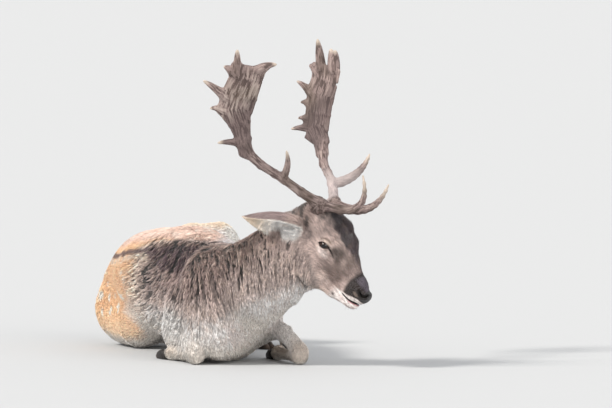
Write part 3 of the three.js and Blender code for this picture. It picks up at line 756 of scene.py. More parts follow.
def body_tints(p, normal, weight_of):
    """Colour of the body and legs: grey winter coat in front, spotted summer coat behind."""
    x, y, z = p.T
    along, angle, _ = nearest(p, "trunk")
    arc = angle * BARREL_RADIUS
    wander = mottle(p / 0.06)
    fleck = mottle(p / 0.012 + 5)
    pale_line = pale_edge(x) + 0.03 * (wander - 0.5)
    base = plain("#f1edec", len(p))
    base = washed(
        base,
        ("#c6b5af", ramp(z, pale_line - 0.03, pale_line + 0.035)),
        ("#988480", ramp(z, pale_line + 0.03, pale_line + 0.09)),
        ("#69554f", ramp(z, 0.205, 0.29) * (1 - 0.35 * wander)),
    )
    throat = ramp(head_place(p)[:, 0], -20, 80) * (weight_of("neck") + weight_of("head"))
    throat *= ramp(z, pale_line - 0.015, pale_line + 0.045)
    base = washed(
        base,
        ("#cdbab4", 0.85 * throat * (1 - 0.4 * wander)),
        ("#d2bdb2", 0.45 * ramp(fleck, 0.45, 0.9)),
    )

    left = ramp(arc, -0.01, 0.03)
    edge = WINTER_EDGE + 0.09 * ramp(z, 0.16, 0.09) * (1 - left) - 0.27 * left + 0.05 * (wander - 0.5)
    hind = np.maximum(weight_of("hind_right"), weight_of("hind_left"))
    summer = np.maximum(ramp(y, edge - 0.035, edge + 0.03), ramp(hind, 0.35, 0.7) * ramp(y, 0.28, 0.36))
    summer *= 1 - np.maximum(weight_of("neck"), weight_of("head"))
    orange = washed(
        plain("#ffcea4", len(p)),
        ("#fbdec2", 0.7 * ramp(z, 0.12, 0.03)),
        ("#f6c095", 0.35 * ramp(mottle(p / 0.02), 0.5, 0.9)),
        ("#eacbc0", 0.85 * left),
    )
    cream = ramp(y, edge - 0.13, edge - 0.03) * ramp(y, edge + 0.035, edge - 0.01) * (1 - left)
    cream = np.maximum(cream, ramp(y, edge - 0.20, edge - 0.08) * ramp(z, 0.17, 0.10) * (1 - left))
    base = washed(base, ("#f8e0cf", 0.9 * cream * (1 - weight_of("neck"))))
    base = base + (orange - base) * summer[:, None]
    spots = spotted(along, arc, SPOT_GAP, SPOT_SIZE, SPOT_SEED) * ramp(z, 0.075, 0.095)
    spots *= ramp(np.abs(arc + 0.02), 0.055, 0.07) * ramp(-normal[:, 0], 0.97, 0.90)
    base = washed(base, ("#fdf4e8", spots * summer * (1 - 0.35 * left)))

    behind_neck = left * (1 - weight_of("neck")) * (1 - weight_of("head"))
    base = washed(base, ("#dcc6bf", 0.7 * behind_neck * (1 - summer)))
    groin = ramp(x, -0.03, 0.0) * ramp(z, 0.335, 0.30) * ramp(y, 0.0, 0.06)
    base = washed(base, ("#f0eff4", 0.9 * behind_neck * groin))
    stripe = arc + 0.026 + 0.032 * ramp(y, 0.28, 0.02)
    stripe_width = 0.008 + 0.036 * ramp(y, 0.28, 0.02)
    fringe = ramp(np.abs(stripe + stripe_width + 0.011), 0.014, 0.006) * ramp(y, 0.14, 0.24)
    base = washed(base, ("#eedccb", 0.8 * fringe * ramp(mottle(p / 0.022 + 8), 0.25, 0.5)))
    far_line = ramp(np.abs(stripe - 0.062 - 0.02 * wander), 0.009, 0.004) * ramp(y, 0.02, 0.08)
    base = washed(base, ("#ecd9cf", 0.5 * far_line * ramp(mottle(p / 0.03 + 8), 0.3, 0.45)))
    dark = ramp(np.abs(stripe), stripe_width + 0.006, stripe_width - 0.004) * ramp(y, -0.14, -0.05)
    base = washed(base, ("#54434a", 0.88 * dark * weight_of("trunk")))

    belly = ramp(normal[:, 2], -0.35, -0.75) * ramp(z, 0.2, 0.1)
    base = washed(base, ("#ebe4dd", belly))
    return leg_tints(p, normal, weight_of, base)


def leg_tints(p, normal, weight_of, base):
    y, z = p[:, 1], p[:, 2]
    thigh = weight_of("hind_left")
    base = washed(base, ("#fbe4cd", 0.92 * thigh * ramp(z, 0.1, 0.2)))
    inner_face = ramp(normal @ np.array((0.1, -0.95, -0.1)), 0.0, 0.3)
    base = washed(base, ("#f0eff4", thigh * ramp(z, 0.335, 0.30) * inner_face))
    rim = thigh * ramp(normal @ np.array((0.85, -0.5, 0.1)), 0.35, 0.75)
    base = washed(base, ("#fbf5ee", rim * ramp(z, 0.1, 0.16)))
    fore = np.maximum(weight_of("fore_left"), weight_of("fore_right"))
    base = washed(base, ("#efebe8", 0.9 * fore * ramp(z, 0.18, 0.11)))
    shin = sum(weight_of("shin_" + name) for name in LEGS)
    base = washed(
        base,
        ("#d3c6b8", shin),
        ("#b39c86", 0.6 * shin * ramp(normal[:, 2], 0.2, 0.8)),
        ("#e6dfd6", shin * ramp(normal[:, 2], -0.2, -0.7)),
    )
    root = TAIL[0][0]
    from_root = np.linalg.norm((p - root - np.array((0.0, 0, -0.045))) * np.array((1, 0.6, 0.8)), axis=1)
    rump = ramp(y, 0.70, 0.74)
    base = washed(
        base,
        ("#2b2422", rump * ramp(from_root, 0.098, 0.086)),
        ("#f2ece4", rump * ramp(from_root, 0.082, 0.070)),
    )
    tail = weight_of("tail")
    return washed(
        base,
        ("#f2ece4", tail),
        ("#2a2321", tail * ramp(normal @ np.array((0, 0.75, 0.6)), 0.1, 0.45)),
    )


def face_tints(p):
    h = head_side(p)
    a, u, o = h.T
    wander = mottle(p / 0.014) - 0.5
    base = washed(
        plain("#baa6a0", len(p)),
        ("#cbb9b1", 0.7 * ramp(mottle(p / 0.03), 0.4, 0.8)),
        ("#a18b82", 0.8 * ramp(a, 50, -15)),
    )
    middle = np.hypot((a - 192) / 47, (u + 22) / 53)
    base = washed(base, ("#554641", 0.86 * ramp(middle + 0.7 * wander, 1.3, 0.3)))
    under = np.interp(a, (92, 160, 215, 272, 295), (-110, -114, -90, -65, -61))
    base = washed(base, ("#cdb9ae", 0.85 * ramp(u - under, 22, 7) * ramp(a, 240, 200)))
    bridge = ramp(a, 170, 215) * ramp(u, -14, 14)
    base = washed(base, ("#7b6b67", 0.8 * bridge))

    dark_edge = np.interp(a, (50, 64, 107, 138, 166, 194, 229, 255), (58, 58, 48, 42, 34, 31, 22, 10))
    brow = ramp(u - dark_edge + 9 * wander, -3, 4) * ramp(a, 48, 62)
    base = washed(
        base,
        ("#3d343b", (0.92 - 0.4 * ramp(a, 190, 214)) * brow),
        ("#6a594f", 0.5 * brow * ramp(mottle(p / 0.0065 + 3), 0.56, 0.78)),
        ("#352c2f", 0.6 * brow * ramp(mottle(p / 0.008 + 9), 0.55, 0.8)),
    )
    front = np.hypot((a - 161) / 30, (u - 10) / 20)
    base = washed(base, ("#443833", 0.88 * ramp(front + 1.2 * wander, 1.35, 0.4) * ramp(o, 14, 28)))
    second = np.hypot((a - 196) / 16, (u - 22) / 13)
    base = washed(base, ("#62544e", 0.6 * ramp(second + 1.1 * wander, 1.2, 0.5)))
    opening = almond(h)
    close = ramp(np.abs(a - EYE_AT[0]), 40, 30) * ramp(o, 30, 40)
    below_eye = np.hypot((a - 134) / 24, (u + 17) / 11)
    base = washed(base, ("#dccfcb", 0.8 * ramp(below_eye, 1.15, 0.5)))
    brow_side = ramp(u - EYE_AT[1] - 0.4 * (EYE_AT[0] - a), -4, 8)
    ring = (0.15 + 0.5 * brow_side) * ramp(opening, 14, 6) * close
    base = washed(
        base,
        ("#d0bcae", ring * ramp(front, 0.8, 1.1)),
        ("#2a201d", ramp(opening, 2.4, 0.8) * close),
    )
    tear = thread(h, TEAR_LINE, TEAR_RADII)
    base = washed(base, ("#2a201d", ramp(tear, 1.8, 0.2)))
    # Painted shade along the fold above the upper lid.
    lid_fold_shade = thread(h, LID_CREASE, LID_CREASE_RADII) + 60 * ramp(o, 36, 28)
    base = washed(
        base,
        ("#8a7770", 0.6 * ramp(lid_fold_shade, 2.2, 0.2)),
        ("#6d5c58", 0.7 * ramp(np.hypot(a - 146, u + 14), 4, 1.5)),
    )

    lip = u - np.interp(a, (225, 244, 259, 270, 284, 296), (-53, -46, -41, -34, -27, -26))
    tip = ramp(a + 0.35 * np.minimum(u + 10, 0), 226, 238) * ramp(lip, 1, 5)
    base = washed(base, ("#1d1616", 0.97 * tip))
    wing = np.hypot((a - 271) / 9, (u + 19) / 5)
    base = washed(
        base,
        ("#8a7a71", 0.8 * ramp(wing, 1.2, 0.5) * ramp(o, 8, 14)),
        ("#57505a", 0.8 * ramp(a, 238, 250) * ramp(u, 0, 9)),
    )
    pale = ramp(a, 214, 236) * ramp(lip, 4, 0.5)
    base = washed(base, ("#dfd7d4", pale))
    mouth = thread(h, MOUTH, MOUTH_RADII)
    below = u - np.interp(a, (244, 267, 278, 290), (-48, -45, -41, -36))
    freckled = ramp(mottle(p / 0.006), 0.4, 0.7)
    base = washed(base, ("#a99795", 0.75 * pale * ramp(below, -3, -10) * freckled))
    nose = ramp(a + 0.3 * (u + 10), 284, 288) * ramp(u, -25, -20)
    base = washed(base, ("#2b2829", nose))
    nostril = thread(h, NOSTRIL, NOSTRIL_RADII)
    base = washed(
        base,
        ("#16110f", ramp(nostril, 2.8, 0.4)),
        ("#a8757a", ramp(mouth, 4.2, 2.4) * ramp(a, 262, 276) * ramp(below, -0.5, -2)),
        ("#1d1413", ramp(mouth, 1.3, 0.2)),
    )
    wart = np.hypot(a - 230, u + 70)
    base = washed(base, ("#4a3c38", ramp(wart, 5, 2)))
    base = base * (1 + 0.3 * (mottle(p / 0.0032) - 0.5) + 0.3 * (mottle(p / 0.011 + 4) - 0.5))[:, None]
    wet = np.maximum(nose, np.maximum(ramp(mouth, 2.4, 1.2), ramp(opening, 2.0, 0.8) * close))
    return base, np.maximum(wet, ramp(tear, 1.6, 0.6))


def ear_tints(p, normal, ear, name):
    along = nearest(p, name)[0]
    t = along / np.linalg.norm(ear.run)
    inside = ramp(normal @ ear.open, -0.3, 0.1) * ramp(ear.inner(p.astype(np.float32)), 0.004, 0.0015)
    base = washed(
        plain("#93807f", len(p)),
        ("#7d6a66", ramp(t, 0.7, 1)),
        ("#b19d96", 0.85 * ramp(t, 0.3, 0.1)),
    )
    across_rim = ((p - ear.root) @ ear.rim) / EAR_HALF_WIDTH
    low = ramp(across_rim, 0.05, 0.55)
    # The lower rim and the inside are the ear's own pale lining, painted brighter and warmer as painted
    # light for the sun shining through the thin ear.
    return washed(
        base,
        ("#fae6d2", 0.95 * low),
        ("#fff3e6", inside),
        ("#fffaf6", inside * ramp(t, 0.6, 0.3)),
        ("#efcfb0", 0.5 * inside * ramp(t, 0.5, 0.8)),
    )


CHEEK_AT = (60, -40, 0)


def tints(p, normal, way):
    """Colour, wetness and partings of the coat at points of the hide, and the lengths they belong to."""
    names, weight = shares(p)
    if way is None:
        way = lie_of(p, normal, names, weight)

    def weight_of(name):
        return weight[names.index(name)]

    colour = body_tints(p, normal, weight_of)
    groove = furrows(p, way)
    x, y, z = p.T
    h = head_side(p)
    cheek = ramp(h[:, 0], 5, 65) * ramp(np.linalg.norm(h - CHEEK_AT, axis=1), 190, 110)
    on_face = ramp(weight_of("head"), 0.15, 0.6)
    face_share = np.maximum(on_face * ramp(h[:, 0], -12, 40), cheek * ramp(weight_of("head"), 0.02, 0.4))
    thick = groove * ramp(y, 0.38, 0.28) * (1 - on_face * ramp(h[:, 0], 5, 45))
    edge = pale_edge(x)
    thick *= 1 - 0.92 * ramp(z, edge + 0.02, edge - 0.03) * ramp(x, -0.03, 0.05)
    far_side = ramp(nearest(p, "trunk")[1], 0.0, 0.2) * ramp(y, 0.0, 0.1)
    thick *= 1 - 0.95 * far_side
    thick *= 1 - 0.3 * ramp(h[:, 0], 40, 90) * ramp(weight_of("neck") + weight_of("head"), 0.5, 0.9)
    # Painted shade darkens the partings between the locks, and a painted highlight lightens their
    # crests.
    parting_shade_and_crest_light = thick * (0.45 + 0.55 * ramp(z, 0.06, 0.2))
    colour = colour * (1 - 0.97 * np.maximum(parting_shade_and_crest_light, 0) - 0.4 * np.minimum(parting_shade_and_crest_light, 0))[:, None]
    face, wet = face_tints(p)
    face = face * (1 + 1.3 * (drawn_out(p, way, FACE_STRANDS, 13, 2) - 0.5))[:, None]
    colour = colour + (face - colour) * face_share[:, None]
    colour *= 1 - 0.9 * jaw_shadow(h)[:, None]
    a, u, o = h.T
    crown = ramp(np.hypot(a - 26, u + 4), 44, 28) * ramp(o, 16, 28)
    strand = np.stack(((a + u) / 7, (a - u) / 60, o / 30), -1)
    colour = washed(
        colour,
        ("#6f5b53", 0.6 * crown),
        ("#2a1f1a", 0.93 * crown * ramp(mottle(strand), 0.56, 0.42)),
    )
    for name, ear in ears.items():
        share_ear = ramp(weight_of(name), 0.3, 0.6)
        colour = colour + (ear_tints(p, normal, ear, name) - colour) * share_ear[:, None]
    return colour, wet * ramp(weight_of("head"), 0.3, 0.7), thick, names, weight


def normals_of(mesh):
    n = np.empty(len(mesh.vertices) * 3, np.float32)
    mesh.vertices.foreach_get("normal", n)
    return n.reshape(-1, 3)


LAYERS = {
    "tint": ("FLOAT_COLOR", "color"),
    "wet": ("FLOAT", "value"),
    "strand": ("FLOAT_VECTOR", "vector"),
}


def store(mesh, **layers):
    """Keep values for every point on its mesh, where the materials read them by name."""
    for name, values in layers.items():
        kind, key = LAYERS[name]
        if name == "tint":
            values = np.concatenate((values, np.ones((len(values), 1))), 1)
        layer = mesh.attributes.new(name, kind, "POINT")
        layer.data.foreach_set(key, np.asarray(values, np.float32).ravel())


hide_points = points_of(hide_mesh)
hide_normals = normals_of(hide_mesh)
hide_tint, hide_wet, _, part_names, hide_shares = tints(hide_points, hide_normals, None)
hide_lie = lie_of(hide_points, hide_normals, part_names, hide_shares)
# Coordinates drawn out along the hair, so that fine noise on them makes strands.
STRAND_STRETCH = 9
drawn = (hide_points * hide_lie).sum(1)[:, None] * hide_lie * (1 - 1 / STRAND_STRETCH)
store(hide_mesh, tint=hide_tint, wet=hide_wet, strand=hide_points - drawn)

# Strand group: fine streaks of lighter and darker hair along the lie, and their height.
strands = bpy.data.node_groups.new("strands", "ShaderNodeTree")
for name, kind, way in (
    ("Along", "NodeSocketVector", "INPUT"),
    ("Tint", "NodeSocketColor", "INPUT"),
    ("Scale", "NodeSocketFloat", "INPUT"),
    ("Contrast", "NodeSocketFloat", "INPUT"),
    ("Colour", "NodeSocketColor", "OUTPUT"),
    ("Height", "NodeSocketFloat", "OUTPUT"),
):
    strands.interface.new_socket(name, in_out=way, socket_type=kind)


def add_node(tree, kind, values=None, **settings):
    node = tree.nodes.new(kind)
    for key, value in settings.items():
        setattr(node, key, value)
    for key, value in (values or {}).items():
        node.inputs[key].default_value = value
    return node


def join_nodes(tree, *links):
    for source, out, target, into in links:
        tree.links.new(source.outputs[out], target.inputs[into])


group_in = add_node(strands, "NodeGroupInput")
group_out = add_node(strands, "NodeGroupOutput")
fine_noise = add_node(strands, "ShaderNodeTexNoise", {"Detail": 3, "Roughness": 0.65})
spread = add_node(strands, "ShaderNodeMapRange", {"From Min": 0.3, "From Max": 0.7})
centre_it = add_node(strands, "ShaderNodeMath", {1: 0.5}, operation="SUBTRACT")
by_contrast = add_node(strands, "ShaderNodeMath", operation="MULTIPLY")
shift_up = add_node(strands, "ShaderNodeMath", {1: 1}, operation="ADD")
shade = add_node(strands, "ShaderNodeVectorMath", operation="SCALE")
join_nodes(
    strands,
    (group_in, "Along", fine_noise, "Vector"),
    (group_in, "Scale", fine_noise, "Scale"),
    (fine_noise, "Fac", spread, "Value"),
    (spread, "Result", centre_it, 0),
    (centre_it, 0, by_contrast, 0),
    (group_in, "Contrast", by_contrast, 1),
    (by_contrast, 0, shift_up, 0),
    (group_in, "Tint", shade, 0),
    (shift_up, 0, shade, "Scale"),
    (shade, 0, group_out, "Colour"),
    (spread, "Result", group_out, "Height"),
)


def new_material(name):
    material = bpy.data.materials.new(name)
    material.use_nodes = True
    return material, material.node_tree, material.node_tree.nodes["Principled BSDF"]


def haired(name, along, scale, contrast, bump, roughness, sheen):
    """Material of hide or hair: its own tint, streaked along the hair and bumped by the streaks."""
    material, tree, shader = new_material(name)
    shader.inputs["Sheen Weight"].default_value = sheen
    shader.inputs["Specular IOR Level"].default_value = 0.25
    tint = add_node(tree, "ShaderNodeAttribute", attribute_name="tint")
    wet = add_node(tree, "ShaderNodeAttribute", attribute_name="wet")
    if along:
        where = add_node(tree, "ShaderNodeAttribute", attribute_name=along)
        where_out = "Vector"
    else:
        where = add_node(tree, "ShaderNodeTexCoord")
        where_out = "Object"
    streak = add_node(tree, "ShaderNodeGroup", node_tree=strands)
    streak.inputs["Scale"].default_value = scale
    streak.inputs["Contrast"].default_value = contrast
    rough = add_node(tree, "ShaderNodeMapRange", {"To Min": roughness, "To Max": 0.28})
    height = add_node(tree, "ShaderNodeBump", {"Strength": bump, "Distance": 0.0012})
    join_nodes(
        tree,
        (where, where_out, streak, "Along"),
        (tint, "Color", streak, "Tint"),
        (streak, "Colour", shader, "Base Color"),
        (wet, "Fac", rough, "Value"),
        (rough, "Result", shader, "Roughness"),
        (streak, "Height", height, "Height"),
        (height, "Normal", shader, "Normal"),
    )
    return material


hide_mesh.materials.append(haired("hide_leather_and_underfur", "strand", 620, 0.55, 0.5, 0.8, 0.1))
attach(hide, "root")
FLESH_NODES = ("trunk", "neck", "head", "ear", "tail", "leg", "cannon")
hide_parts(*[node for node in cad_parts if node.split("_")[0] in FLESH_NODES])

# ------------------------------------------------------------------ eyes
# Two glass balls set in the head behind the lids: dark brown, with a level slot of a
# pupil under a clear cornea that bulges a little and looks wet.
IRIS_RADIUS = 0.0118
CORNEA_BULGE = 0.0012
PUPIL_HALF = (0.0072, 0.0044)
EYE_FORWARD = 0.22
EYE_UPWARD = 0.05
EYE_FINISH = {
    "Roughness": 0.08,
    "Coat Roughness": 0.03,
    "Coat Weight": 0.25,
    "Specular IOR Level": 0.35,
}
eye_material, eye_tree, eye_shader = new_material("wet_eye")
for socket, value in EYE_FINISH.items():
    eye_shader.inputs[socket].default_value = value
eye_tint = add_node(eye_tree, "ShaderNodeAttribute", attribute_name="tint")
eye_speck = add_node(eye_tree, "ShaderNodeTexNoise", {"Scale": 900, "Detail": 2})
eye_where = add_node(eye_tree, "ShaderNodeTexCoord")
eye_mix = add_node(eye_tree, "ShaderNodeMix", {"Factor": 0.3}, data_type="RGBA", blend_type="MULTIPLY")
join_nodes(
    eye_tree,
    (eye_where, "Object", eye_speck, "Vector"),
    (eye_tint, "Color", eye_mix, 6),
    (eye_speck, "Color", eye_mix, 7),
    (eye_mix, 2, eye_shader, "Base Color"),
)
for name, side in (("left", 1), ("right", -1)):
    eye_middle = on_head(*EYE_AT, side)
    eye_out = unit(LEFT * side + FACE * EYE_FORWARD + BROW * EYE_UPWARD)
    bpy.ops.object.select_all(action="DESELECT")
    bpy.ops.mesh.primitive_uv_sphere_add(segments=64, ring_count=48, radius=EYE_RADIUS * MM)
    eye = bpy.context.object
    eye.name = "eyeball_" + name
    eye.data.transform(Vector(eye_out).to_track_quat("Z", "Y").to_matrix().to_4x4())
    eye_points = points_of(eye.data).astype(float)
    toward = eye_points @ eye_out
    off_axis = np.linalg.norm(eye_points - toward[:, None] * eye_out, axis=1)
    lens = np.clip(1 - (off_axis / IRIS_RADIUS) ** 2, 0, 1) * (toward > 0)
    eye_points += eye_out * (lens * CORNEA_BULGE)[:, None] + eye_middle
    move_points(eye.data, eye_points)
    slot_way = across(LEVEL, eye_out)
    slot_rise = np.cross(eye_out, slot_way)
    seen = eye_points - eye_middle
    pupil = np.hypot(seen @ slot_way / PUPIL_HALF[0], seen @ slot_rise / PUPIL_HALF[1])
    iris = plain("#24140d", len(seen))
    iris = washed(
        iris,
        ("#3f281a", 0.6 * mottle(seen / 0.0016)),
        ("#060404", ramp(pupil, 1.15, 0.9) * (toward > 0)),
        ("#1a100c", ramp(off_axis, IRIS_RADIUS * 0.86, IRIS_RADIUS) + (toward <= 0)),
    )
    store(eye.data, tint=iris)
    bpy.ops.object.shade_smooth()
    eye.data.materials.append(eye_material)
    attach(eye, "root")
    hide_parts("eye_" + name)

# ------------------------------------------------------------------ antlers
# Hard bare bone, grooved along its length and fixed on the skull: a round beam over a
# knobbed burr, brow and trez tines in front, and a flat palm edged with points.
PALM_FLARE = math.radians(25)
PALM_BASE = (-178, 56, 257)
PALM_CUP = 0.6
PALM_LEAN = 0.19
BEAM = [(22, 22, 32, 16), (31, 40, 42, 18), (31, 50, 50, 21), (26, 53, 57, 16), (20, 53, 64, 14),
        (-11, 52, 108, 12), (-50, 51, 154, 10.8), (-75, 47, 177, 10.8), (-109, 41, 209, 11.5),
        (-142, 44, 245, 13), (-168, 52, 256, 14)]
ANTLERS = {
    "right": {
        "side": -1,
        "palm": [(-34, -3, 17, 12), (2, -2, 19, 10), (45, 5, 29, 8.5), (84, 13, 46, 7.5),
                 (122, -1, 46, 7), (170, -22, 43, 6), (198, -30, 46, 4.5)],
        "points": [((8, -8), (64, -8), 8), ((48, 78), (76, 84), 6), ((38, 116), (89, 158), 10),
                   ((8, 176), (33, 198), 7), ((0, 190), (-3, 244), 9), ((-52, 192), (-100, 206), 10)],
        "tines": {"trez": ((-57, 52, 160), (-70, 92, 186), (-92, 121, 215), 9),
                  "brow": ((44, 62, 42), (105, 140, 60), (51, 199, 62), 12)},
    },
    "left": {
        "side": 1,
        "palm": [(-36, -13, 19, 12), (0, -6, 27, 10), (34, 18, 50, 8.5), (70, 10, 48, 8),
                 (117, 2, 52, 7), (160, -21, 50, 6), (192, -30, 54, 4.5)],
        "points": [((48, 28), (114, 27), 8), ((50, 53), (87, 56), 6), ((46, 93), (77, 98), 6),
                   ((36, 122), (90, 153), 9), ((8, 176), (33, 194), 6), ((-8, 190), (-7, 261), 12),
                   ((-52, 186), (-54, 236), 12), ((-62, 186), (-70, 232), 12)],
        "tines": {"trez": ((-36, 50, 146), (-26, 106, 184), (-54, 152, 230), 13),
                  "brow": ((44, 62, 42), (98, 122, 56), (83, 200, 62), 12.5)},
    },
}
TINE_STEPS = 10
TINE_TAPER = 0.82
TINE_CURVE = 1.7
TINE_BLUNT = 1.7
ANTLER_CELL = 0.0021
ANTLER_ROOM = 0.07
GROOVE_DEPTH = 0.0010
GROOVES = ((0.1, 0.0090, 0), (0.4, 0.0034, 2), (0.5, 0.0022, 4))
BURR_AT = (31, 50, 50)
BURR_REACH = 0.028
BURR_PEARL = 0.0052
BURR_HEIGHT = 0.0055


class Plate(Length):
    """A length whose value stays a true distance even where it is wide and thin."""

    def __call__(self, p):
        _, rise, side, end, depth, width = self.place(p)
        least = np.minimum(depth, width)
        share = np.sqrt((rise / depth) ** 2 + (side / width) ** 2 + (end / least) ** 2)
        slope = np.sqrt((rise / depth ** 2) ** 2 + (side / width ** 2) ** 2 + (end / least ** 2) ** 2)
        return share * (share - 1) / np.maximum(slope, 1e-6)


def plates(*stations):
    return [Plate(a, b) for a, b in zip(stations, stations[1:])]


def round_station(centre, radius, up):
    return centre, up, radius * MM, radius * MM


def tine_chain(start, middle, end, thick, up):
    """A tine bowed through its middle point and drawn out to a blunt tip."""
    pull = 2 * middle - (start + end) / 2
    stations = []
    for t in np.linspace(0, 1, TINE_STEPS) ** 0.8:
        centre = (1 - t) ** 2 * start + 2 * t * (1 - t) * pull + t * t * end
        radius = max(thick * (1 - TINE_TAPER * t ** TINE_CURVE), TINE_BLUNT)
        stations.append(round_station(centre, radius, up))
    return plates(*stations)


def grooves(q):
    return sum(share * mottle(q / width + offset) for share, width, offset in GROOVES)


class Antler:
    def __init__(self, side, palm, points, tines):
        self.back = -LEVEL * math.cos(PALM_FLARE) + LEFT * side * math.sin(PALM_FLARE)
        self.up = unit(np.array((0, 0, 1)) + LEFT * side * PALM_LEAN)
        self.through = unit(np.cross(self.up, self.back))
        self.base = on_head(*PALM_BASE, side)
        beam = [round_station(on_head(*place, side), r, self.back) for *place, r in BEAM]
        plate = [
            (self.on_palm(back, up), self.back, half * MM, thick * MM)
            for up, back, half, thick in palm
        ]
        self.parts = [plates(*beam, plate[1]), plates(*plate)]
        for start, end, thick in points:
            ends = self.on_palm(*start), self.on_palm(*end)
            bowed = (ends[0] + ends[1]) / 2 + self.up * 0.003
            self.parts.append(tine_chain(ends[0], bowed, ends[1], thick, self.up))
        for start, middle, end, thick in tines.values():
            places = [on_head(*place, side) for place in (start, middle, end)]
            self.parts.append(tine_chain(*places, thick, BROW))
        self.fields = [joined(part, 0.005) for part in self.parts]

    def on_palm(self, back, up):
        flat = self.base + (self.back * back + self.up * up) * MM
        return flat + self.through * PALM_CUP * (up * MM) ** 2

    def __call__(self, p):
        p = p.astype(np.float32)
        total = self.fields[0](p)
        for field in self.fields[1:]:
            total = blend(total, field(p), 0.010)
        return total

    def grain(self, p):
        """Height of the lengthwise grooves, share of the way to a tip, and the grooves' coordinates."""
        p = p.astype(np.float32)
        every = []
        for index, part in enumerate(self.parts):
            best = np.full(len(p), 1e6)
            q = np.zeros((len(p), 3))
            tip = np.zeros(len(p))
            passed = 0
            for step, length in enumerate(part):
                value = length(p)
                closer = value < best
                best = np.where(closer, value, best)
                k, rise, side = length.place(p)[:3]
                here = np.stack((rise, side, (passed + k * length.long) * 0.13), -1) + index * 0.3
                q = np.where(closer[:, None], here, q)
                tip = np.where(closer, (step + k) / len(part) if index > 1 else 0, tip)
                passed += length.long
            every.append((best, q, tip))
        nearest_part = np.min([best for best, q, tip in every], axis=0)
        weight = np.exp(-(np.stack([best for best, q, tip in every]) - nearest_part) / 0.004)
        weight /= weight.sum(0)
        ridge = sum(w * grooves(q) for w, (best, q, tip) in zip(weight, every))
        tip = sum(w * tip for w, (best, q, tip) in zip(weight, every))
        drawn = np.stack([q for best, q, tip in every])[weight.argmax(0), np.arange(len(p))]
        return ridge, tip, drawn


def facing_out(mesh):
    """Turn every face of a closed mesh outward."""
    turned = bmesh.new()
    turned.from_mesh(mesh)
    bmesh.ops.recalc_face_normals(turned, faces=turned.faces[:])
    turned.to_mesh(mesh)
    turned.free()


horn_material = haired("grooved_bone", "strand", 420, 0.5, 0.55, 0.62, 0)
for name, shape in ANTLERS.items():
    antler = Antler(**shape)
    corners = np.array([length.start for part in antler.parts for length in part])
    low = corners.min(0) - ANTLER_ROOM
    high = corners.max(0) + ANTLER_ROOM
    horn_mesh = mesh_of("antler_" + name, *surface(antler, low, high, ANTLER_CELL))
    horn_points = settle(antler, points_of(horn_mesh).astype(float), 2, 0.0015)
    move_points(horn_mesh, horn_points)
    horn = linked("bone_antler_" + name, horn_mesh)
    facing_out(horn_mesh)
    ridge, tip, drawn_points = antler.grain(horn_points)
    root = on_head(*BURR_AT, shape["side"])
    burr = np.exp(-(np.linalg.norm(horn_points - root, axis=1) / BURR_REACH) ** 4)
    pearl = mottle(horn_points / BURR_PEARL + 7)
    lift = (ridge - 0.5) * GROOVE_DEPTH * (1 - 0.8 * tip) + burr * (pearl - 0.35) * BURR_HEIGHT
    horn_points = horn_points + normals_of(horn_mesh) * lift[:, None]
    move_points(horn_mesh, horn_points)
    from_base = np.linalg.norm(horn_points - root, axis=1)
    bone = washed(
        plain("#857471", len(tip)),
        ("#8b7975", ramp(from_base, 0.22, 0.34)),
        # The grooves are painted darker and the ridges lighter: the bone's own staining, strengthened by
        # painted shade in the grooves and a painted highlight on the ridges.
        ("#3a2e2a", 0.75 * ramp(ridge, 0.49, 0.38)),
        ("#b3a29a", 0.5 * ramp(ridge, 0.54, 0.68)),
        ("#51453b", 0.55 * ramp(mottle(horn_points / 0.045), 0.5, 0.8)),
        # Painted shade: a darker band round the place where the beam meets the palm.
        ("#45393a", 0.6 * ramp(np.abs(from_base - 0.32), 0.07, 0.035)),
    )
    # A painted highlight lightens the ridges of the right antler about 0.4 m from the burr.
    ridge_highlight = ramp(np.abs(from_base - 0.395), 0.06, 0.01) * ramp(ridge, 0.44, 0.58)
    bone = washed(
        bone,
        ("#b5a9a0", 0.4 * (name == "right") * ridge_highlight),
        ("#453930", 0.4 * burr),
    )
    pale_beam = ramp(from_base, 0.20, 0.12) * ramp(head_place(horn_points)[:, 0], 26, 8)
    bone = washed(
        bone,
        ("#cdc1c0", 0.5 * (name == "left") * pale_beam),
        ("#cfc2b2", 0.7 * ramp(tip, 0.6, 0.98)),
    )
    store(horn_mesh, tint=bone, wet=0.25 * ramp(tip, 0.5, 1), strand=drawn_points)
    smooth(horn_mesh)
    horn_mesh.materials.append(horn_material)
    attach(horn, "root")
    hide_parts(*[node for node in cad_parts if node.startswith("antler_" + name)])

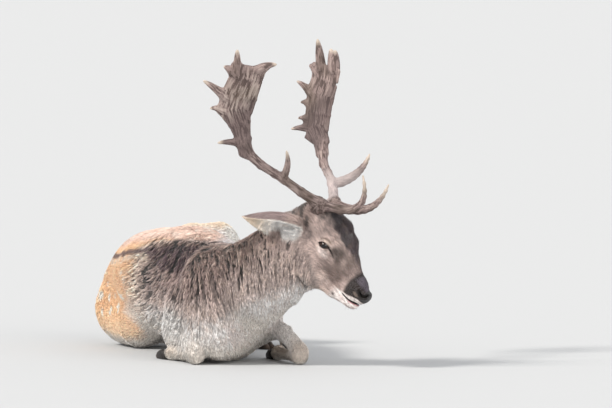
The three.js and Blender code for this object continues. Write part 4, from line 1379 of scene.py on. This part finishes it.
# ------------------------------------------------------------------ hooves
# Two claws to each foot: flat-soled sheaths of dark horn with growth rings, grown
# on the last toe bones and fixed where the hair ends.
CLAW_GAP = 9.5
CLAW_CLOSING = 0.002
CLAW_LONG = 0.052
CLAW = [(-8, 9, 8), (4, 12, 9.2), (14, 13, 9.5), (26, 12, 8.8), (36, 10, 7.8), (46, 7, 5.6),
        (52, 4.5, 3.4)]
CLAW_CELL = 0.0016
CLAW_ROOM = 0.045
CLAW_WET = 0.55
SOLE_HEIGHT = 0.0004
RING_SIZE = np.array((0.003, 0.03, 0.02))
hoof_material = haired("hoof_horn", "strand", 700, 0.3, 0.3, 0.7, 0)
for name, leg in LEGS.items():
    fetlock = leg["shin"][-1][0]
    run = unit(leg["toe"] - fetlock)
    wide = unit(np.cross((0, 0, 1), run))
    claws = []
    for side in (-1, 1):
        stations = []
        for t, high, half in CLAW:
            apart = wide * side * CLAW_GAP * (1 - CLAW_CLOSING * max(t, 0))
            centre = fetlock + (run * t + apart) * MM
            centre[2] = (high - 0.5) * MM
            stations.append((centre, np.array((0, 0, 1.0)), high * MM, half * MM))
        claws.append(chain(*stations, k=0.004))

    def foot(p):
        q = p.astype(np.float32)
        return np.maximum(np.minimum(claws[0](q), claws[1](q)), 0.0006 - q[:, 2])

    low = np.minimum(fetlock, leg["toe"]) - CLAW_ROOM
    high = np.maximum(fetlock, leg["toe"]) + CLAW_ROOM
    hoof_mesh = mesh_of("hoof_" + name, *surface(foot, low, high, CLAW_CELL))
    hoof_points = settle(foot, points_of(hoof_mesh).astype(float), 2, 0.001, 0.0004)
    hoof_points[:, 2] = np.maximum(hoof_points[:, 2], SOLE_HEIGHT)
    move_points(hoof_mesh, hoof_points)
    hoof = linked("horn_hoof_" + name, hoof_mesh)
    facing_out(hoof_mesh)
    smooth(hoof_mesh)
    toe_share = (hoof_points - fetlock) @ run / CLAW_LONG
    horn_tint = washed(plain("#2a2523", len(hoof_points)), ("#5a4c43", 0.7 * ramp(toe_share, 0.6, 1)))
    ring = np.stack((hoof_points @ run, hoof_points @ wide, hoof_points[:, 2]), -1) / RING_SIZE
    horn_tint = washed(horn_tint, ("#17130f", 0.5 * mottle(ring)))
    damp = np.full(len(hoof_points), CLAW_WET)
    store(hoof_mesh, tint=horn_tint, wet=damp, strand=ring * RING_SIZE[0])
    hoof_mesh.materials.append(hoof_material)
    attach(hoof, "root")
    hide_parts("hoof_" + name)

# ------------------------------------------------------------------ coat
# The real hair grows from the hide. It is made in small overlapping tufts rooted in it and
# lying along the body: thick and furrowed on the neck and flanks, short on the haunches,
# finest on the face and shins.
TUFT_TRIANGLES = {"bent": 10, "straight": 4}
PIECE_LIMIT = 195000
BAKE_PATCH = 0.003
ROOT_DEPTH = 0.0006
TUFT_HEIGHT = 0.42
FLOOR_GAP = 0.0008
PARTING_BARE = 0.7
# Each tuft is painted darker at its root, as painted shade from the hair around it, and lighter at its
# tip.
ROOT_PAINTED_SHADE = 0.55
STRAIGHT_ROOT_PAINTED_SHADE = 0.7
MIDDLE_SHADE = 0.95
TIP_SHADE = 1.14
# Tufts a square metre, then length, width in metres and standing angle in degrees.
COATS = {
    "trunk": ("bent", ("trunk",), 92e3, 0.020, 0.0026, 16),
    "neck": ("bent", ("neck",), 155e3, 0.017, 0.0021, 16),
    "hind": ("bent", ("hind_left", "hind_right"), 105e3, 0.015, 0.0026, 12),
    "fore": ("bent", ("fore_left", "fore_right"), 125e3, 0.014, 0.0022, 14),
    "tail": ("bent", ("tail",), 150e3, 0.030, 0.0026, 15),
    "head": ("straight", ("head",), 340e3, 0.0095, 0.0015, 17),
    "ears": ("straight", ("ear_left", "ear_right"), 330e3, 0.0085, 0.0013, 16),
    "shins": ("straight", tuple("shin_" + name for name in LEGS), 260e3, 0.0085, 0.0015, 13),
}


def tuft_mesh(name, kind, root, normal, way, long, wide, stand, colour, place):
    """One closed tapering lock at every root, bent down towards the hide at its middle."""
    side = np.cross(way, normal)
    low_way = way * np.cos(stand)[:, None] + normal * np.sin(stand)[:, None]
    end_stand = stand * 0.25
    end_way = way * np.cos(end_stand)[:, None] + normal * np.sin(end_stand)[:, None]
    middle = root + low_way * (long * 0.5)[:, None]
    tip = middle + end_way * (long * 0.5)[:, None]
    if kind == "straight":
        tip = root + (low_way + end_way) * (long * 0.5)[:, None]
    foot = root - normal * ROOT_DEPTH
    rings = [(foot, 1.0, STRAIGHT_ROOT_PAINTED_SHADE)]
    if kind == "bent":
        rings = [(foot, 1.0, ROOT_PAINTED_SHADE), (middle, 0.85, MIDDLE_SHADE)]
    corners = []
    shades = []
    for centre, share, light in rings:
        half = side * (wide * share * 0.5)[:, None]
        ridge = normal * (wide * share * TUFT_HEIGHT)[:, None]
        corners += [centre - half, centre + half, centre + ridge]
        shades += [light] * 3
    corners.append(tip)
    shades.append(TIP_SHADE)
    points = np.stack(corners, 1)
    count = points.shape[1]
    if kind == "bent":
        faces = [(0, 2, 1)]
        for a, b in ((0, 1), (1, 2), (2, 0)):
            faces += [(a, b, b + 3), (a, b + 3, a + 3), (a + 3, b + 3, 6)]
        spread = ((0, 0), (1, 0), (0.5, 0.2), (0.1, 0.5), (0.9, 0.5), (0.5, 0.7), (0.5, 1))
    else:
        faces = [(0, 2, 1), (0, 1, 3), (1, 2, 3), (2, 0, 3)]
        spread = ((0, 0), (1, 0), (0.5, 0.3), (0.5, 1))
    faces = np.array(faces)
    sample = points[0]
    origin = sample.mean(0)
    arms = sample - origin
    volume = sum(np.dot(arms[a], np.cross(arms[b], arms[c])) for a, b, c in faces)
    if volume < 0:
        faces = faces[:, ::-1]
    points[:, :, 2] = np.maximum(points[:, :, 2], FLOOR_GAP)
    every = (np.arange(len(root))[:, None, None] * count + faces).reshape(-1, 3)
    mesh = mesh_of(name, points.reshape(-1, 3), every)
    tint = colour[:, None, :] * np.array(shades)[None, :, None]
    store(mesh, tint=np.clip(tint.reshape(-1, 3), 0, 0.95))
    flat = (place[:, None, :] + (np.array(spread) - 0.5) * BAKE_PATCH).reshape(-1, 2)
    layer = mesh.uv_layers.new(name="OFBake")
    layer.data.foreach_set("uv", flat[every.ravel()].astype(np.float32).ravel())
    return mesh


def unwrapped(p, normal, names, owner):
    """Place on a flat unwrap: one column for each length of the body, cut along its underside."""
    place = np.zeros((len(p), 2))
    for index, name in enumerate(names):
        along, angle, _ = nearest(p, name)
        mine = owner == name
        if not mine.any():
            continue
        low, high = along[mine].min(), along[mine].max()
        share = (along - low) / max(high - low, 1e-3)
        turn = (angle + math.pi) / (2 * math.pi)
        if name.startswith("ear"):
            facing = normal @ ears[name].open > 0
            turn = (turn + facing) / 2
        column = (index + 0.02 + 0.96 * share) / len(names)
        place[mine] = np.stack((column, 0.01 + 0.98 * turn), -1)[mine]
    return place


def hair_form(p, normal, names, weight, thick):
    """Share of the full length, extra standing angle, swirl and winter share of the hair at p."""
    weight_of = dict(zip(names, weight))
    y, z = p[:, 1], p[:, 2]
    long = np.ones(len(p))
    summer = ramp(y, 0.30, 0.42) * weight_of["trunk"]
    long *= 1 - 0.40 * summer
    pale_low = ramp(z, 0.20, 0.10) * (weight_of["neck"] + weight_of["trunk"]) * ramp(y, 0.0, -0.1)
    long *= 1 - 0.25 * pale_low
    long *= 1 - 0.30 * np.maximum(thick, 0)
    stand = -9 * thick
    h = head_side(p)
    a, u, o = h.T
    head = weight_of["head"]
    muzzle = ramp(a, 150, 235)
    eye_near = np.linalg.norm(h - EYE_AT, axis=1)
    hairline = np.interp(a, (50, 94, 128, 165, 195), (34, 40, 30, 16, 6))
    forehead = ramp(u - hairline, -3, 6) * ramp(a, 175, 130)
    crown = ramp(a, 75, 50) * ramp(a, 2, 24) * ramp(o, 20, 36)
    throat = ramp(a, 110, 60) * ramp(u, 0, -50)
    face = (1 - 0.45 * muzzle) * (1 + 0.5 * forehead + 1.3 * crown + 0.9 * throat)
    face *= 1 - 0.62 * ramp(eye_near, 34, 20)
    long *= 1 + (face - 1) * head
    stand = stand + head * (8 * forehead + 4 * crown - 4 * muzzle)
    for name, ear in ears.items():
        long *= 1 - 0.6 * weight_of["neck"] * ramp(ear.inner(p.astype(np.float32)), 0.045, 0.02)
        inside = weight_of[name] * ramp(normal @ ear.open, 0.2, 0.6)
        share = ((p - ear.root) @ ear.axis) / np.linalg.norm(ear.run)
        lining = 0.9 * inside * ramp(share, 0.75, 0.35)
        long *= 1 + weight_of[name] * (lining - 0.35 * ramp(share, 0.5, 1))
    winter = (weight_of["trunk"] + weight_of["neck"]) * (1 - summer)
    swirl = 0.9 * head * forehead + 0.13 * (1 - 0.6 * winter)
    return long, stand, swirl, winter


hide_mesh.calc_loop_triangles()
triangles = np.empty(len(hide_mesh.loop_triangles) * 3, np.int32)
hide_mesh.loop_triangles.foreach_get("vertices", triangles)
triangles = triangles.reshape(-1, 3)
edges = [hide_points[triangles[:, i]] - hide_points[triangles[:, 0]] for i in (1, 2)]
areas = np.linalg.norm(np.cross(*edges), axis=1) / 2
owners = np.array(part_names)[hide_shares.argmax(0)]
triangle_owner = owners[triangles[:, 0]]
coat_material = haired("hair", None, 520, 0.35, 0.25, 0.62, 0.25)
dice = np.random.default_rng(21)
# How far the tufts differ from each other, and how they turn away from the partings.
LONG_SHARES = (0.75, 1.15)
WIDE_SHARES = (0.7, 1.25)
LIGHT_SHARES = (0.55, 1.5)
STAND_LIMITS = (4, 45)
STAND_SCATTER = 4
TURN_SCATTER = 0.06
PARTING_REACH = 0.0035
PARTING_TURN = 0.09
WETTEST_HAIRED = 0.12
BANDED_SHARE = 0.2
form = {name: coat[3:5] for coat in COATS.values() for name in coat[1]}
for title, (kind, names, density, _, _, angle) in COATS.items():
    mine = np.isin(triangle_owner, names)
    weight = areas * mine * density
    middle = hide_points[triangles].mean(1)
    if title == "trunk":
        weight = weight * (1 + 0.5 * ramp(middle[:, 1], 0.30, 0.42))
    if title != "head":
        weight = weight * (0.35 + 0.65 * ramp(hide_normals[triangles[:, 0], 2], -0.85, -0.5))
    total = int(weight.sum())
    picks = (np.arange(total) + dice.random(total)) / total * weight.sum()
    chosen = np.minimum(np.searchsorted(np.cumsum(weight), picks), len(weight) - 1)
    r, q = dice.random((2, total))
    flip = r + q > 1
    r[flip], q[flip] = 1 - r[flip], 1 - q[flip]
    bary = np.stack((1 - r - q, r, q), -1)[:, :, None]
    corners = triangles[chosen]
    root = (hide_points[corners] * bary).sum(1).astype(float)
    normal = (hide_normals[corners] * bary).sum(1).astype(float)
    normal /= np.linalg.norm(normal, axis=1)[:, None]
    way = (hide_lie[corners] * bary).sum(1)
    keep = ~((root[:, 2] < 0.006) & (normal[:, 2] < -0.6))
    root, normal, way = root[keep], normal[keep], way[keep]
    colour, wet, thick, all_names, share = tints(root, normal, way)
    keep = (wet < WETTEST_HAIRED) & (dice.random(len(root)) > PARTING_BARE * ramp(thick, 0.2, 0.7))
    if title == "head":
        h = head_side(root)
        bare = (almond(h) < 1.6) & (np.abs(h[:, 0] - EYE_AT[0]) < 30) & (h[:, 2] > 30)
        bare |= thread(h, MOUTH, MOUTH_RADII) < 1.0
        bare |= thread(h, NOSTRIL, NOSTRIL_RADII) < 1.5
        keep &= ~bare
    root, normal, way = root[keep], normal[keep], way[keep]
    colour, thick, share = colour[keep], thick[keep], share[:, keep]
    long, extra, swirl, winter = hair_form(root, normal, all_names, share, thick)
    side = np.cross(way, normal)
    turn = swirl * (mottle(root / 0.011 + 2) + mottle(root / 0.028 + 6) - 1) * 1.3
    turn += dice.normal(0, TURN_SCATTER, len(root))
    if title in ("trunk", "neck"):
        step = side * PARTING_REACH
        slope = furrows(root + step, way) - furrows(root - step, way)
        turn -= PARTING_TURN * slope * winter
    way = way * np.cos(turn)[:, None] + side * np.sin(turn)[:, None]
    way -= normal * (way * normal).sum(1)[:, None]
    way /= np.maximum(np.linalg.norm(way, axis=1), 1e-6)[:, None]
    base_long = sum(part * form[name][0] for name, part in zip(all_names, share))
    base_wide = sum(part * form[name][1] for name, part in zip(all_names, share))
    long = long * dice.uniform(*LONG_SHARES, len(root))
    wide = base_wide * dice.uniform(*WIDE_SHARES, len(root)) * np.clip(long, 0.75, 1.2)
    long = base_long * long
    stand = np.radians(np.clip(angle + extra + dice.normal(0, STAND_SCATTER, len(root)), *STAND_LIMITS))
    light = dice.normal(1, 0.12 + 0.06 * winter + 0.08 * (title == "head"), len(root))
    colour = colour * np.clip(light, *LIGHT_SHARES)[:, None]
    banded = (dice.random(len(root)) < BANDED_SHARE) * winter * (1 - np.maximum(thick, 0))
    colour = washed(colour, ("#b9a596", 0.55 * banded))
    owner = np.array(all_names)[share.argmax(0)]
    owner = np.where(np.isin(owner, names), owner, names[0])
    place = unwrapped(root, normal, names, owner)
    order = np.argsort(place[:, 0], kind="stable")
    pieces = math.ceil(len(root) * TUFT_TRIANGLES[kind] / PIECE_LIMIT)
    for number, chunk in enumerate(np.array_split(order, pieces), 1):
        spread = place[chunk].copy()
        if pieces > 1:
            low, high = spread[:, 0].min(), spread[:, 0].max()
            spread[:, 0] = 0.01 + 0.98 * (spread[:, 0] - low) / (high - low)
        piece_name = f"coat_{title}_{number}"
        coat_mesh = tuft_mesh(piece_name, kind, root[chunk], normal[chunk], way[chunk], long[chunk],
                              wide[chunk], stand[chunk], colour[chunk], spread)
        coat = linked(piece_name, coat_mesh)
        coat_mesh.materials.append(coat_material)
        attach(coat, "root")

# ------------------------------------------------------------------ lashes and whiskers
# Stiff single hairs: a row of lashes rooted along each upper lid, and whiskers
# rooted in the lips and chin.
LASH_COUNT = 24
LASH_OUT = 47
WHISKER_OUT = 22
BRISTLE_SCATTER = 0.10
LASH_LONG = 0.010
LASH_WIDE = 0.0008
WHISKER_LONG = 0.026
WHISKER_WIDE = 0.0006
WHISKERS = [(254, -30), (262, -24), (268, -33), (272, -22), (278, -30),
            (262, -56), (272, -58), (280, -54)]
lash_share = np.linspace(-0.85, 0.8, LASH_COUNT)
lash_rise = LID_HEIGHT["upper"] * (1 - lash_share ** 2) + 0.8
lash_run = lash_share * EYE_HALF_LENGTH
lash_along = EYE_AT[0] + lash_run * math.cos(EYE_SLANT) - lash_rise * math.sin(EYE_SLANT)
lash_up = EYE_AT[1] + lash_run * math.sin(EYE_SLANT) + lash_rise * math.cos(EYE_SLANT)
lash_places = list(zip(lash_along, lash_up, np.full(LASH_COUNT, LASH_OUT)))
whisker_places = [(a, u, WHISKER_OUT) for a, u in WHISKERS]
# Roots, length, width and colour, then the lean down the face and down into it.
BRISTLES = {
    "lashes": (lash_places, LASH_LONG, LASH_WIDE, "#1d1614", 0.35, 0.25),
    "whiskers": (whisker_places, WHISKER_LONG, WHISKER_WIDE, "#4c413c", 0.6, 0.35),
}
BRISTLE_OUTWARD = 0.55
for title, (places, length, width, code, forward, downward) in BRISTLES.items():
    start = np.array([on_head(*place, side) for side in (1, -1) for place in places])
    sides = np.repeat((1, -1), len(places))
    root = settle(hide_field, start, 6, 0.004)
    lean = BRISTLE_OUTWARD * LEFT * sides[:, None] + (forward * FACE - downward * BROW)
    lean = lean + dice.normal(0, BRISTLE_SCATTER, lean.shape)
    lean /= np.linalg.norm(lean, axis=1)[:, None]
    normal = np.cross(lean, np.cross(slopes(hide_field, root, 0.001), lean))
    normal /= np.linalg.norm(normal, axis=1)[:, None]
    count = len(root)
    share = np.arange(count) / count
    spread = np.stack((0.02 + 0.96 * share, np.full(count, 0.5)), -1)
    long = length * dice.uniform(0.8, 1.1, count)
    coat_mesh = tuft_mesh("coat_" + title, "bent", root, normal, lean, long, np.full(count, width),
                          np.zeros(count), plain(code, count), spread)
    coat = linked("coat_" + title, coat_mesh)
    coat_mesh.materials.append(coat_material)
    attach(coat, "root")

# ------------------------------------------------------------------ floor and light
# A pale floor that runs out of sight on every side, a small key lamp from the upper
# left, a broad low fill from the front right, and an even sky.
FLOOR_SIZE = 240
FLOOR_TONE = (0.53, 0.54, 0.55, 1)
SKY_TONE = (0.97, 0.98, 1, 1)
SKY_STRENGTH = 0.78
SUN_TONE = (1, 0.96, 0.90)
# Where each lamp shines from, how many degrees wide it is, and its strength.
LAMPS = {"key": ((-4.0, -2.2, 4.0), 12, 3.1), "fill": ((3.2, -5, 0.4), 60, 2.8)}
bpy.ops.object.select_all(action="DESELECT")
bpy.ops.mesh.primitive_plane_add(size=1, location=(0, 0, 0))
floor = bpy.context.object
floor.name = "studio_floor"
bpy.ops.object.mode_set(mode="EDIT")
bpy.ops.mesh.select_all(action="SELECT")
bpy.ops.transform.resize(value=(FLOOR_SIZE, FLOOR_SIZE, 1))
bpy.ops.object.mode_set(mode="OBJECT")
floor_material, _, floor_shader = new_material("pale_floor")
floor_shader.inputs["Base Color"].default_value = FLOOR_TONE
floor_shader.inputs["Roughness"].default_value = 0.8
floor.data.materials.append(floor_material)
world = bpy.data.worlds.new("studio")
bpy.context.scene.world = world
world.use_nodes = True
world.node_tree.nodes["Background"].inputs["Color"].default_value = SKY_TONE
world.node_tree.nodes["Background"].inputs["Strength"].default_value = SKY_STRENGTH
for name, (place, spread, power) in LAMPS.items():
    lamp_data = bpy.data.lights.new(name, "SUN")
    lamp_data.angle = math.radians(spread)
    lamp_data.energy = power
    lamp_data.color = SUN_TONE
    lamp = linked(name, lamp_data)
    lamp.rotation_euler = (-Vector(place)).to_track_quat("-Z", "Y").to_euler()
bpy.context.scene.view_settings.view_transform = "Standard"
